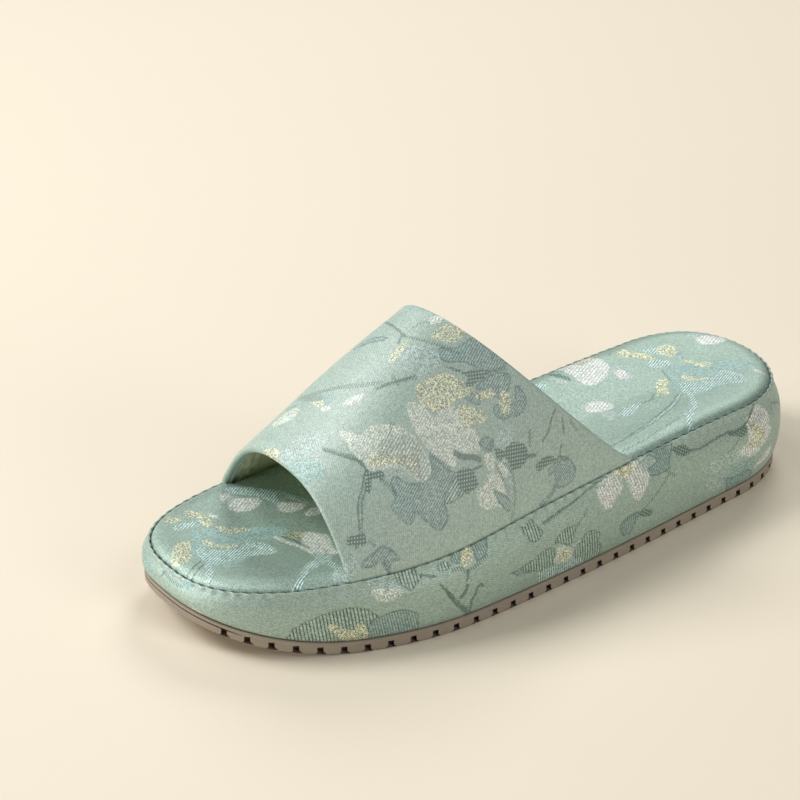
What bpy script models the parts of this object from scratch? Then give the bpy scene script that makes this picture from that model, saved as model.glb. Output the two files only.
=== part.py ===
"""Platform slide sandal for the left foot.

Four pieces, from the floor up: a rubber outsole with a notched edge, a platform covered in
brocade, a padded insole and a one-piece band over the instep. The toe is at -Y, the heel at
+Y and the outer side of the foot at +X. Sizes are in millimetres until a mesh is made.
"""
import math

import bmesh
import bpy
import numpy as np

MM = 0.001
WELD_DISTANCE = 0.001
SHARP_EDGE = math.radians(40.0)

# Plan of the sole: "along" runs from 0 at the toe tip to 1 at the back of the heel
SOLE_LENGTH = 265.0
SOLE_COLUMNS = ("along", "half_width", "axis_shift")
SOLE_ROWS = (
    (0.00, 50.0, -9.5),
    (0.15, 48.5, -2.0),
    (0.30, 48.5, 3.8),
    (0.45, 43.5, 7.7),
    (0.60, 38.5, 9.4),
    (0.75, 37.0, 6.1),
    (0.90, 37.0, 1.5),
    (1.00, 40.0, -3.0),
)
TOE_ROUND_REACH = 0.36
TOE_ROUND_POWER = 2.6
HEEL_ROUND_REACH = 0.156
HEEL_ROUND_POWER = 2.03
STATIONS = 48

# Height of the stitched seam that closes the top edge of the platform
SEAM_COLUMNS = ("along", "height")
SEAM_ROWS = (
    (0.00, 25.0),
    (0.25, 29.5),
    (0.50, 36.0),
    (0.75, 37.5),
    (1.00, 35.0),
)
SEAM_INSET = 2.5

# Outsole
OUTSOLE_THICKNESS = 4.7
OUTSOLE_EDGE_ROUND = 0.6
TOE_SPRING = 11.0
TOE_SPRING_REACH = 0.2
NOTCH_PITCH = 8.3
NOTCH_WIDTH = 1.8
NOTCH_HEIGHT = 2.9
NOTCH_DEPTH = 4.0
TOE_BUMPER_REACH = 0.028

# Side of the platform: "rise" from its foot to the seam, "swell" beyond the outsole's edge
# where the padding is fullest, "tuck" inwards everywhere
SIDE_COLUMNS = ("rise", "swell", "tuck")
SIDE_ROWS = (
    (0.00, 0.0, 1.8),
    (0.10, 0.5, 0.4),
    (0.30, 0.9, 0.0),
    (0.55, 1.0, 0.0),
    (0.78, 0.6, 0.2),
    (0.92, 0.1, 1.0),
    (1.00, 0.0, SEAM_INSET),
)
TOE_SWELL = 0.7
HEEL_SWELL = 1.8

# Bed in the top of the platform and the padded insole in it: "inside" is the distance from
# the seam for the bed and from the insole's own edge for the pad. A flat ledge runs round the
# bed, where the insole's edge and the feet of the band are sewn down
LEDGE_DROP = 1.4
LEDGE_WIDTH = 4.4
BED_COLUMNS = ("inside", "drop")
BED_ROWS = (
    (0.0, LEDGE_DROP),
    (LEDGE_WIDTH, LEDGE_DROP),
    (9.0, 3.2),
    (18.0, 4.6),
    (32.0, 5.6),
    (50.0, 6.0),
)
PAD_COLUMNS = ("inside", "rise")
PAD_ROWS = (
    (0.0, -0.3),
    (1.2, 0.7),
    (4.0, 1.4),
    (10.0, 1.2),
    (20.0, 0.0),
    (34.0, -1.0),
    (50.0, -1.2),
)
BED_INSETS = (LEDGE_WIDTH, 9.0, 18.0)
PAD_INSETS = (1.2, 4.0, 10.0, 18.0)
CROWN_STEPS = (0.2, 0.5, 0.8)
PIECE_GAP = 0.3

# Band over the instep: one row for its toe edge, its middle and its rear edge. The feet stand
# on the seam at "outer_foot" and "inner_foot", "crest" is the height over them, "lean" how far
# the crest lies towards the heel (negative: the toe), "fullness" and "skew" the arch's form
BAND_COLUMNS = ("band", "outer_foot", "inner_foot", "crest", "lean", "fullness", "skew")
BAND_ROWS = (
    (0.0, -88.0, -87.5, 29.0, -2.5, 1.3, -0.07),
    (0.5, -27.0, -34.0, 48.0, -29.0, 1.65, 0.03),
    (1.0, 33.5, 20.0, 62.5, -55.0, 2.0, 0.14),
)
BAND_CREST_FULLNESS = 2.1
BAND_WALL = 2.6
BAND_LEAN_POWER = 0.83
BAND_FOOT_RISE = 2.0
BAND_HEM_ROUND = 0.9
BAND_HEM_STEPS = 2
BAND_HEM_EDGE = math.radians(50.0)
BAND_STEPS_ALONG = 16
BAND_STEPS_OVER = 40
BAND_SIDE_GAP = 0.9
BAND_END_GAP = 2.0
BAND_END_EASE = 9.0

FINISHES = {
    "outsole": ((0.26, 0.19, 0.145), 0.75),
    "midsole": ((0.35, 0.47, 0.40), 0.55),
    "insole": ((0.31, 0.44, 0.37), 0.55),
    "upper": ((0.37, 0.49, 0.42), 0.5),
}


def clear_scene():
    for item in list(bpy.data.objects):
        bpy.data.objects.remove(item, do_unlink=True)


def make_collection(name):
    group = bpy.data.collections.new(name)
    bpy.context.scene.collection.children.link(group)
    return group


def make_finish(name):
    """Plain coat in the piece's own colour."""
    colour, roughness = FINISHES[name]
    finish = bpy.data.materials.new(name)
    finish.use_nodes = True
    coat = finish.node_tree.nodes["Principled BSDF"]
    coat.inputs["Base Color"].default_value = (*colour, 1.0)
    coat.inputs["Roughness"].default_value = roughness
    coat.inputs["Metallic"].default_value = 0.0
    return finish


def read(columns, rows, name, place):
    """Smooth curve through one column of a table, over the table's first column."""
    where = np.array([row[0] for row in rows])
    value = np.array([row[columns.index(name)] for row in rows])
    slope = np.gradient(value, where)
    place = np.clip(place, where[0], where[-1])
    left = np.clip(np.searchsorted(where, place) - 1, 0, len(where) - 2)
    span = where[left + 1] - where[left]
    t = (place - where[left]) / span
    return (
        (2 * t**3 - 3 * t**2 + 1) * value[left]
        + (t**3 - 2 * t**2 + t) * span * slope[left]
        + (3 * t**2 - 2 * t**3) * value[left + 1]
        + (t**3 - t**2) * span * slope[left + 1]
    )


def smooth_step(t):
    t = np.clip(t, 0.0, 1.0)
    return t * t * (3.0 - 2.0 * t)


def along_of(y):
    return np.clip(y / SOLE_LENGTH + 0.5, 0.0, 1.0)


def seam_height(y):
    return read(SEAM_COLUMNS, SEAM_ROWS, "height", along_of(y))


def spring_height(y):
    """Lift of the sole's underside, which leaves the floor just behind the toe."""
    return TOE_SPRING * np.maximum(0.0, 1.0 - along_of(y) / TOE_SPRING_REACH) ** 2


def sole_edge():
    """Outline of the outsole as two rows of stations, outer side and inner side, with normals."""
    along = 0.5 - 0.5 * np.cos(np.pi * np.arange(STATIONS + 1) / STATIONS)
    toe = np.clip(1.0 - along / TOE_ROUND_REACH, 0.0, 1.0)
    heel = np.clip(1.0 - (1.0 - along) / HEEL_ROUND_REACH, 0.0, 1.0)
    toe_round = (1.0 - toe**TOE_ROUND_POWER) ** (1.0 / TOE_ROUND_POWER)
    heel_round = (1.0 - heel**HEEL_ROUND_POWER) ** (1.0 / HEEL_ROUND_POWER)
    half = read(SOLE_COLUMNS, SOLE_ROWS, "half_width", along) * toe_round * heel_round
    axis = read(SOLE_COLUMNS, SOLE_ROWS, "axis_shift", along)
    y = (along - 0.5) * SOLE_LENGTH
    outer = np.column_stack([axis + half, y])
    inner = np.column_stack([axis - half, y])
    loop = np.vstack([outer, inner[-2:0:-1]])
    run = np.roll(loop, -1, axis=0) - np.roll(loop, 1, axis=0)
    run /= np.linalg.norm(run, axis=1, keepdims=True)
    normal = np.column_stack([run[:, 1], -run[:, 0]])
    outer_normal = normal[: STATIONS + 1]
    inner_normal = np.vstack([normal[:1], normal[: STATIONS - 1 : -1]])
    return ((outer, outer_normal), (inner, inner_normal))


SOLE_EDGE = sole_edge()


def rim(side, inset):
    """Stations of one side moved inwards; the inset is one size or one for each station."""
    points, normal = SOLE_EDGE[side]
    return points - normal * np.broadcast_to(inset, len(points))[:, None]


def at_height(plan, height):
    return np.column_stack([plan, np.broadcast_to(height, len(plan))])


def across(outer, inner, step):
    return outer + (inner - outer) * step


def inside_of(plan, edge_loop):
    """Distance from plan points to a closed edge."""
    start = edge_loop
    run = np.roll(edge_loop, -1, axis=0) - start
    away = plan[:, None] - start[None]
    share = np.clip((away * run).sum(2) / (run * run).sum(1), 0.0, 1.0)
    return np.linalg.norm(away - share[..., None] * run, axis=2).min(axis=1)


def finish_mesh(name, work, group):
    """Closed mesh from a bmesh in millimetres, with its ends welded and its faces outwards."""
    bmesh.ops.remove_doubles(work, verts=work.verts, dist=WELD_DISTANCE)
    bmesh.ops.dissolve_degenerate(work, edges=work.edges, dist=WELD_DISTANCE)
    bmesh.ops.recalc_face_normals(work, faces=work.faces)
    bmesh.ops.scale(work, vec=(MM, MM, MM), verts=work.verts)
    mesh = bpy.data.meshes.new(name)
    work.to_mesh(mesh)
    work.free()
    mesh.shade_smooth()
    mesh.set_sharp_from_angle(angle=SHARP_EDGE)
    mesh.materials.append(make_finish(name))
    piece = bpy.data.objects.new(name, mesh)
    group.objects.link(piece)
    return piece


def loft_stations(name, rows, group):
    """Loft of closed sections, one for each station, from rows that run along the shoe."""
    work = bmesh.new()
    rings = [[work.verts.new(row[i]) for row in rows] for i in range(STATIONS + 1)]
    for near, far in zip(rings, rings[1:]):
        for k in range(len(rows)):
            after = (k + 1) % len(rows)
            work.faces.new((near[k], near[after], far[after], far[k]))
    return finish_mesh(name, work, group)


def build_outsole(group):
    """Rubber plate that turns up at the toe, with its edges rounded over."""
    profile = (
        (OUTSOLE_EDGE_ROUND, 0.0),
        (0.0, OUTSOLE_EDGE_ROUND),
        (0.0, OUTSOLE_THICKNESS - OUTSOLE_EDGE_ROUND),
        (OUTSOLE_EDGE_ROUND, OUTSOLE_THICKNESS),
    )
    sides = []
    for side in (0, 1):
        rows = []
        for inset, height in profile:
            plan = rim(side, inset)
            rows.append(at_height(plan, spring_height(plan[:, 1]) + height))
        sides.append(rows)
    return loft_stations("outsole", sides[0] + sides[1][::-1], group)


def notch_stations():
    """Evenly spaced places around the outsole's edge, leaving the toe bumper whole."""
    (outer, outer_normal), (inner, inner_normal) = SOLE_EDGE
    loop = np.vstack([outer, inner[-2::-1]])
    normal = np.vstack([outer_normal, inner_normal[-2::-1]])
    walked = np.concatenate([[0.0], np.cumsum(np.linalg.norm(np.diff(loop, axis=0), axis=1))])
    whole = (loop[:, 1] / SOLE_LENGTH + 0.5) > TOE_BUMPER_REACH
    first, last = walked[whole][0], walked[whole][-1]
    count = int((last - first) / NOTCH_PITCH)
    for place in np.linspace(first, last, count + 1):
        at = [np.interp(place, walked, loop[:, k]) for k in (0, 1)]
        facing = [np.interp(place, walked, normal[:, k]) for k in (0, 1)]
        yield at, math.atan2(facing[1], facing[0])


def cut_notches(outsole, group):
    """Small slots from the underside up, right through the edge of the outsole."""
    work = bmesh.new()
    for (x, y), turn in notch_stations():
        made = bmesh.ops.create_cube(work, size=1.0)["verts"]
        bmesh.ops.scale(work, vec=(2.0 * NOTCH_DEPTH, NOTCH_WIDTH, 2.0 * NOTCH_HEIGHT), verts=made)
        bmesh.ops.translate(work, vec=(0.0, 0.0, float(spring_height(y))), verts=made)
        spin = np.array([[math.cos(turn), -math.sin(turn)], [math.sin(turn), math.cos(turn)]])
        for corner in made:
            corner.co.x, corner.co.y = spin @ np.array(corner.co[:2]) + np.array([x, y])
    bmesh.ops.scale(work, vec=(MM, MM, MM), verts=work.verts)
    mesh = bpy.data.meshes.new("edge_notches")
    work.to_mesh(mesh)
    work.free()
    cutter = bpy.data.objects.new("edge_notches", mesh)
    cutter.hide_render = True
    cutter.display_type = "WIRE"
    group.objects.link(cutter)
    cut = outsole.modifiers.new("edge notches", "BOOLEAN")
    cut.operation = "DIFFERENCE"
    cut.solver = "EXACT"
    cut.object = cutter


def closed_edge(inset_by_side):
    outer = rim(0, inset_by_side[0])
    inner = rim(1, inset_by_side[1])
    return np.vstack([outer, inner[-2:0:-1]])


def bed_height(plan):
    """Top of the platform under the insole, by the distance from the seam."""
    inside = inside_of(plan, closed_edge((SEAM_INSET, SEAM_INSET)))
    return seam_height(plan[:, 1]) - read(BED_COLUMNS, BED_ROWS, "drop", inside)


def bed_rows(lift):
    """Rows of the bed, raised by a lift: two sides from the seam inwards, and the middle."""
    sides = []
    for side in (0, 1):
        plans = [rim(side, SEAM_INSET + inset) for inset in BED_INSETS]
        sides.append([at_height(plan, bed_height(plan) + lift) for plan in plans])
    crown = []
    for step in CROWN_STEPS:
        plan = across(sides[0][-1], sides[1][-1], step)[:, :2]
        crown.append(at_height(plan, bed_height(plan) + lift))
    return sides, crown


def build_midsole(group):
    """Platform: padded sides that swell over the outsole, and a shallow bed in the top."""
    bed_sides, bed_crown = bed_rows(0.0)
    sides = []
    for side in (0, 1):
        along = along_of(SOLE_EDGE[side][0][:, 1])
        fullness = TOE_SWELL + (HEEL_SWELL - TOE_SWELL) * smooth_step(along)
        rows = []
        for row in SIDE_ROWS:
            at = dict(zip(SIDE_COLUMNS, row))
            plan = rim(side, at["tuck"] - at["swell"] * fullness)
            foot = spring_height(plan[:, 1]) + OUTSOLE_THICKNESS + PIECE_GAP
            head = seam_height(plan[:, 1]) - LEDGE_DROP
            rows.append(at_height(plan, foot + (head - foot) * at["rise"]))
        sides.append(rows + bed_sides[side])
    return loft_stations("midsole", sides[0] + bed_crown + sides[1][::-1], group)


def insole_inset(side):
    """Inset of the insole's edge: at the seam, but stepping in where a foot of the band stands."""
    y = SOLE_EDGE[side][0][:, 1]
    foot = BAND_COLUMNS.index(("outer_foot", "inner_foot")[side])
    front = BAND_ROWS[0][foot] - BAND_END_GAP
    back = BAND_ROWS[-1][foot] + BAND_END_GAP
    enter = smooth_step((y - front + BAND_END_EASE) / BAND_END_EASE)
    leave = smooth_step((back + BAND_END_EASE - y) / BAND_END_EASE)
    return SEAM_INSET + (BAND_WALL + BAND_SIDE_GAP) * enter * leave


def build_insole(group):
    """Padded sock: thin and stitched at its edge, crowned inside it, dished under the foot."""
    insets = [insole_inset(side) for side in (0, 1)]
    pad_loop = closed_edge(insets)
    under_sides, under_crown = bed_rows(PIECE_GAP)

    def top(plan):
        rise = read(PAD_COLUMNS, PAD_ROWS, "rise", inside_of(plan, pad_loop))
        return at_height(plan, seam_height(plan[:, 1]) + rise)

    sides = []
    for side in (0, 1):
        edge = rim(side, insets[side])
        foot = at_height(edge, bed_height(edge) + PIECE_GAP)
        over = [top(rim(side, insets[side] + inset)) for inset in PAD_INSETS]
        sides.append(under_sides[side][::-1] + [foot, top(edge)] + over)
    crown = [top(across(sides[0][-1], sides[1][-1], step)[:, :2]) for step in CROWN_STEPS]
    rows = sides[0] + crown + sides[1][::-1] + under_crown[::-1]
    return loft_stations("insole", rows, group)


def band_point(side, y):
    """Point of the seam line on one side of the foot, where a foot of the band stands."""
    plan = rim(side, SEAM_INSET)
    return np.array([np.interp(y, plan[:, 1], plan[:, 0]), y, float(seam_height(y))])


def band_arch(band, over):
    """Outer face of the band: "band" runs toe edge to rear edge, "over" outer to inner foot."""
    at = {name: float(read(BAND_COLUMNS, BAND_ROWS, name, band)) for name in BAND_COLUMNS}
    outer = band_point(0, at["outer_foot"])
    inner = band_point(1, at["inner_foot"])
    angle = math.pi * over
    crest_share = math.sin(angle) ** 2
    power = 2.0 / (at["fullness"] + (BAND_CREST_FULLNESS - at["fullness"]) * crest_share)
    swing = math.copysign(abs(math.cos(angle)) ** power, math.cos(angle))
    lift = max(0.0, math.sin(angle)) ** power
    swing -= at["skew"] * (1.0 - swing * swing)
    point = (outer + inner) / 2.0 + (outer - inner) / 2.0 * swing
    point[1] += at["lean"] * lift**BAND_LEAN_POWER
    point[2] += at["crest"] * lift + BAND_FOOT_RISE + PIECE_GAP - LEDGE_DROP
    return point


def build_upper(group):
    """Band in one piece: an arched sheet given its wall inwards, with rounded hems."""
    work = bmesh.new()
    lines = []
    for i in range(BAND_STEPS_ALONG + 1):
        band = i / BAND_STEPS_ALONG
        line = [band_arch(band, k / BAND_STEPS_OVER) for k in range(BAND_STEPS_OVER + 1)]
        foot = np.array([0.0, 0.0, BAND_FOOT_RISE])
        line = [line[0] - foot, *line, line[-1] - foot]
        lines.append([work.verts.new(point) for point in line])
    for near, far in zip(lines, lines[1:]):
        for k in range(len(near) - 1):
            work.faces.new((near[k], far[k], far[k + 1], near[k + 1]))
    bmesh.ops.scale(work, vec=(MM, MM, MM), verts=work.verts)
    mesh = bpy.data.meshes.new("upper")
    work.to_mesh(mesh)
    work.free()
    mesh.shade_smooth()
    mesh.materials.append(make_finish("upper"))
    piece = bpy.data.objects.new("upper", mesh)
    group.objects.link(piece)
    wall = piece.modifiers.new("wall", "SOLIDIFY")
    wall.thickness = BAND_WALL * MM
    wall.offset = -1.0
    wall.use_even_offset = True
    hem = piece.modifiers.new("rounded hems", "BEVEL")
    hem.width = BAND_HEM_ROUND * MM
    hem.segments = BAND_HEM_STEPS
    hem.limit_method = "ANGLE"
    hem.angle_limit = BAND_HEM_EDGE
    return piece


def stand_on_origin(pieces, cutters):
    """Move every mesh so that the middle of the whole shoe's footprint is at the origin."""
    bpy.context.view_layer.update()
    corners = np.array([tuple(vert.co) for piece in pieces for vert in piece.data.vertices])
    low, high = corners.min(axis=0), corners.max(axis=0)
    shift = (-(low[0] + high[0]) / 2.0, -(low[1] + high[1]) / 2.0, -low[2])
    for item in [*pieces, *cutters]:
        for vert in item.data.vertices:
            vert.co = [value + step for value, step in zip(vert.co, shift)]
        item.data.update()


clear_scene()
SANDAL = make_collection("platform_slide_sandal")
CUTTERS = make_collection("cutters")
OUTSOLE = build_outsole(SANDAL)
cut_notches(OUTSOLE, CUTTERS)
PIECES = [OUTSOLE, build_midsole(SANDAL), build_insole(SANDAL), build_upper(SANDAL)]
stand_on_origin(PIECES, CUTTERS.objects)
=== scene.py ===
"""Platform slide sandal for the left foot, dressed over its CAD solids.

The shoe is put together from the floor up: rubber outsole, covered platform, padded insole, band
and seam. Forms are worked in millimetres on the lines of the sole, with the toe at -Y, the heel
at +Y and the outer side of the foot at +X, and each mesh is put into metres as it is made.
"""
import math

import bpy
import numpy as np
from mathutils import Matrix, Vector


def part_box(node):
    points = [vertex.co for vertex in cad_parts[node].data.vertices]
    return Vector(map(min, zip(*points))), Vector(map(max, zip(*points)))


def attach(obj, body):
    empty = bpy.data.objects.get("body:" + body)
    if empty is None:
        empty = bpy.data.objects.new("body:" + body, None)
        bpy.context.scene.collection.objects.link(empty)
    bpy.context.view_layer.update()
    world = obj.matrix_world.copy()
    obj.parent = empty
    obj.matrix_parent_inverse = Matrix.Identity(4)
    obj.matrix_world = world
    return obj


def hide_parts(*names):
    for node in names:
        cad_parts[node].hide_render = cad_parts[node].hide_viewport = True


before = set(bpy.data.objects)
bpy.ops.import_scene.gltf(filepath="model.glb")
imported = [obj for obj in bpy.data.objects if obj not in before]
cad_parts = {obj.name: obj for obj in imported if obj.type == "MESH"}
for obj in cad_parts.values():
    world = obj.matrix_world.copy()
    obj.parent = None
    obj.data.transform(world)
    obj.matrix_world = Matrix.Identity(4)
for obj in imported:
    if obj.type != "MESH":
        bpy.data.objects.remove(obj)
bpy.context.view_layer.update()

# Outsole: one moulded sheet of matt taupe rubber, turned up a little at the toe and cemented
# under the platform. Square notches leave a row of teeth round its edge, and the toe has a plain
# bumper with one groove. The notch walls get a darker rubber: painted shade for the shadow inside.
MM = 0.001
SOLE_LENGTH = 265.0
SOLE_COLUMNS = ("along", "half_width", "axis_shift")
SOLE_ROWS = (
    (0.00, 50.0, -9.5),
    (0.15, 48.5, -2.0),
    (0.30, 48.5, 3.8),
    (0.45, 43.5, 7.7),
    (0.60, 38.5, 9.4),
    (0.75, 37.0, 6.1),
    (0.90, 37.0, 1.5),
    (1.00, 40.0, -3.0),
)
TOE_ROUND_REACH = 0.36
TOE_ROUND_POWER = 2.6
HEEL_ROUND_REACH = 0.156
HEEL_ROUND_POWER = 2.03
OUTLINE_STATIONS = 4000
OUTSOLE_THICKNESS = 4.7
TOE_SPRING = 11.0
TOE_SPRING_REACH = 0.2
OUTSOLE_STATIONS = 560
OUTSOLE_PROFILE = (
    (0.75, 0.00, 0.0),
    (0.28, 0.18, 0.0),
    (0.05, 0.60, 0.0),
    (0.00, 1.20, 0.0),
    (0.00, 2.75, 0.0),
    (0.05, 2.95, 0.7),
    (0.05, 3.20, 0.7),
    (0.00, 3.40, 0.0),
    (0.00, 4.05, 0.0),
    (0.12, 4.45, 0.0),
    (0.50, 4.70, 0.0),
)
BUMPER_GROOVE_REACH = 0.05
NOTCH_PITCH = 8.3
NOTCH_WIDTH = 2.2
NOTCH_HEIGHT = 3.1
NOTCH_DEPTH = 2.4
NOTCH_FLARE = 0.45
NOTCH_RAMP = 1.7
TOE_BUMPER_REACH = 0.028
TOOTH_CREASE = math.radians(32.0)
WELD_REACH = 0.000002
SLIVER_REACH = 0.000001


def read(columns, rows, name, place):
    """Smooth curve through one column of a table, over the table's first column."""
    where = np.array([row[0] for row in rows])
    value = np.array([row[columns.index(name)] for row in rows])
    slope = np.gradient(value, where)
    place = np.clip(place, where[0], where[-1])
    left = np.clip(np.searchsorted(where, place) - 1, 0, len(where) - 2)
    span = where[left + 1] - where[left]
    t = (place - where[left]) / span
    return (
        (2 * t**3 - 3 * t**2 + 1) * value[left]
        + (t**3 - 2 * t**2 + t) * span * slope[left]
        + (3 * t**2 - 2 * t**3) * value[left + 1]
        + (t**3 - t**2) * span * slope[left + 1]
    )


def smooth_step(t):
    t = np.clip(t, 0.0, 1.0)
    return t * t * (3.0 - 2.0 * t)


def along_of(y):
    return np.clip(y / SOLE_LENGTH + 0.5, 0.0, 1.0)


def spring_height(y):
    """Lift of the sole's underside, which leaves the floor just behind the toe."""
    return TOE_SPRING * np.maximum(0.0, 1.0 - along_of(y) / TOE_SPRING_REACH) ** 2


def sole_sides(stations):
    """Outline of the outsole as two rows of points, outer side and inner side, with normals."""
    along = 0.5 - 0.5 * np.cos(np.pi * np.arange(stations + 1) / stations)
    toe = np.clip(1.0 - along / TOE_ROUND_REACH, 0.0, 1.0)
    heel = np.clip(1.0 - (1.0 - along) / HEEL_ROUND_REACH, 0.0, 1.0)
    toe_round = (1.0 - toe**TOE_ROUND_POWER) ** (1.0 / TOE_ROUND_POWER)
    heel_round = (1.0 - heel**HEEL_ROUND_POWER) ** (1.0 / HEEL_ROUND_POWER)
    half = read(SOLE_COLUMNS, SOLE_ROWS, "half_width", along) * toe_round * heel_round
    axis = read(SOLE_COLUMNS, SOLE_ROWS, "axis_shift", along)
    y = (along - 0.5) * SOLE_LENGTH
    outer = np.column_stack([axis + half, y])
    inner = np.column_stack([axis - half, y])
    loop = np.vstack([outer, inner[-2:0:-1]])
    run = np.roll(loop, -1, axis=0) - np.roll(loop, 1, axis=0)
    run /= np.linalg.norm(run, axis=1, keepdims=True)
    normal = np.column_stack([run[:, 1], -run[:, 0]])
    inner_normal = np.vstack([normal[:1], normal[: stations - 1 : -1]])
    return ((outer, normal[: stations + 1]), (inner, inner_normal))


def sole_loop(count):
    """Evenly spaced points round the sole from the toe tip by the outer side, with normals.

    The last point is the first again. Also gives the way walked, counted so that the heel's
    back is half of the whole on either side.
    """
    (outer, outer_normal), (inner, inner_normal) = sole_sides(OUTLINE_STATIONS)
    points = np.vstack([outer, inner[-2::-1]])
    normals = np.vstack([outer_normal, inner_normal[-2::-1]])
    walked = np.concatenate([[0.0], np.cumsum(np.linalg.norm(np.diff(points, axis=0), axis=1))])
    even = np.linspace(0.0, walked[-1], count + 1)
    points = np.column_stack([np.interp(even, walked, points[:, k]) for k in (0, 1)])
    normals = np.column_stack([np.interp(even, walked, normals[:, k]) for k in (0, 1)])
    normals /= np.linalg.norm(normals, axis=1, keepdims=True)
    heel = walked[OUTLINE_STATIONS]
    even = np.where(even <= heel, even, heel + (even - heel) * heel / (walked[-1] - heel))
    return points, normals, even


plan_low = sole_sides(OUTLINE_STATIONS)[1][0].min(axis=0)
plan_high = sole_sides(OUTLINE_STATIONS)[0][0].max(axis=0)
outsole_low, outsole_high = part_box("outsole")
SHOE_SHIFT = np.array([
    (outsole_low.x + outsole_high.x) / 2.0 / MM - (plan_low[0] + plan_high[0]) / 2.0,
    (outsole_low.y + outsole_high.y) / 2.0 / MM - (plan_low[1] + plan_high[1]) / 2.0,
    outsole_low.z / MM,
])


def lay_grid(name, points):
    """Grid primitive with its vertices laid on rows of points in millimetres."""
    rows, columns = points.shape[:2]
    bpy.ops.object.select_all(action="DESELECT")
    bpy.ops.mesh.primitive_grid_add(
        x_subdivisions=columns - 1, y_subdivisions=rows - 1, size=1.0, calc_uvs=False
    )
    piece = bpy.context.object
    piece.name = name
    piece.data.name = name
    places = (points.reshape(-1, 3) + SHOE_SHIFT) * MM
    piece.data.vertices.foreach_set("co", places.ravel())
    return piece


def close_piece(piece):
    """Weld where rows meet, fill what is still open, and turn the faces outwards."""
    bpy.context.view_layer.objects.active = piece
    bpy.ops.object.mode_set(mode="EDIT")
    bpy.ops.mesh.select_mode(type="VERT")
    bpy.ops.mesh.select_all(action="SELECT")
    bpy.ops.mesh.remove_doubles(threshold=WELD_REACH)
    bpy.ops.mesh.dissolve_degenerate(threshold=SLIVER_REACH)
    bpy.ops.mesh.select_all(action="SELECT")
    bpy.ops.mesh.fill_holes(sides=0)
    bpy.ops.mesh.select_all(action="SELECT")
    bpy.ops.mesh.normals_make_consistent(inside=False)
    bpy.ops.object.mode_set(mode="OBJECT")
    bpy.ops.object.shade_smooth()


def ring_rows(rows):
    """Rows of a closed section along the shoe, the first repeated at the end to close it."""
    return np.stack([*rows, rows[0]], axis=1)


outsole_rows = [[], []]
for side in (0, 1):
    edge, edge_normal = sole_sides(OUTSOLE_STATIONS)[side]
    groove = 1.0 - smooth_step(along_of(edge[:, 1]) / BUMPER_GROOVE_REACH * 2.0 - 1.0)
    for inset, height, groove_depth in OUTSOLE_PROFILE:
        plan = edge - edge_normal * (inset + groove_depth * groove)[:, None]
        outsole_rows[side].append(np.column_stack([plan, spring_height(plan[:, 1]) + height]))
outsole = lay_grid("outsole_rubber", ring_rows(outsole_rows[0] + outsole_rows[1][::-1]))
close_piece(outsole)


def taken_apart(shape):
    """Points and faces of a small shape modelled once, which is then removed."""
    points = np.array([tuple(vert.co) for vert in shape.data.vertices])
    faces = [list(face.vertices) for face in shape.data.polygons]
    bpy.data.objects.remove(shape)
    return points, faces


def joined_copies(name, copies, faces):
    """One mesh of many copies of a small shape, each given by its points in millimetres."""
    count = len(copies[0])
    copied = [[k + count * copy for k in face] for copy in range(len(copies)) for face in faces]
    mesh = bpy.data.meshes.new(name)
    mesh.from_pydata(((np.vstack(copies) + SHOE_SHIFT) * MM).tolist(), [], copied)
    return mesh


bpy.ops.object.select_all(action="DESELECT")
bpy.ops.mesh.primitive_cube_add(size=1.0)
notch = bpy.context.object
notch.scale = (2.0 * NOTCH_DEPTH, NOTCH_WIDTH, NOTCH_HEIGHT)
notch.location = (0.0, 0.0, NOTCH_HEIGHT / 2.0)
bpy.ops.object.transform_apply(location=True, rotation=False, scale=True)
for vert in notch.data.vertices:
    vert.select = vert.co.z < NOTCH_HEIGHT / 2.0
for face in notch.data.polygons:
    face.select = face.normal.z < -0.5
for line in notch.data.edges:
    line.select = all(notch.data.vertices[k].co.z < NOTCH_HEIGHT / 2.0 for k in line.vertices)
bpy.ops.object.mode_set(mode="EDIT")
bpy.ops.mesh.select_mode(type="FACE")
# The mouth of the notch, at the floor, opens out at 45 degrees.
bpy.ops.transform.translate(value=(0.0, 0.0, NOTCH_FLARE))
bpy.ops.mesh.extrude_region_move(TRANSFORM_OT_translate={"value": (0.0, 0.0, -3.0 * NOTCH_FLARE)})
bpy.ops.transform.resize(value=(1.0, 1.0 + 6.0 * NOTCH_FLARE / NOTCH_WIDTH, 1.0))
bpy.ops.object.mode_set(mode="OBJECT")
notch_points, notch_faces = taken_apart(notch)
at_root = (notch_points[:, 0] < 0.0) & (notch_points[:, 2] < NOTCH_HEIGHT / 2.0)
notch_points[at_root, 2] += NOTCH_RAMP

edge, edge_normal, walked = sole_loop(4 * OUTSOLE_STATIONS)
toothed = walked[along_of(edge[:, 1]) > TOE_BUMPER_REACH]
notches = []
for place in np.linspace(toothed[0], toothed[-1], int(np.ptp(toothed) / NOTCH_PITCH) + 1):
    x, y, facing_x, facing_y = (
        np.interp(place, walked, track) for track in (*edge.T, *edge_normal.T)
    )
    notches.append(np.column_stack([
        notch_points[:, 0] * facing_x - notch_points[:, 1] * facing_y + x,
        notch_points[:, 0] * facing_y + notch_points[:, 1] * facing_x + y,
        notch_points[:, 2] + spring_height(y),
    ]))
cutter_mesh = joined_copies("notch_cutter", notches, notch_faces)


def colour(red, green, blue):
    """Scene colour from the 0 to 255 values of a paint card."""
    card = np.array([red, green, blue]) / 255.0
    linear = np.where(card <= 0.04045, card / 12.92, ((card + 0.055) / 1.055) ** 2.4)
    return (*linear.tolist(), 1.0)


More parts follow.
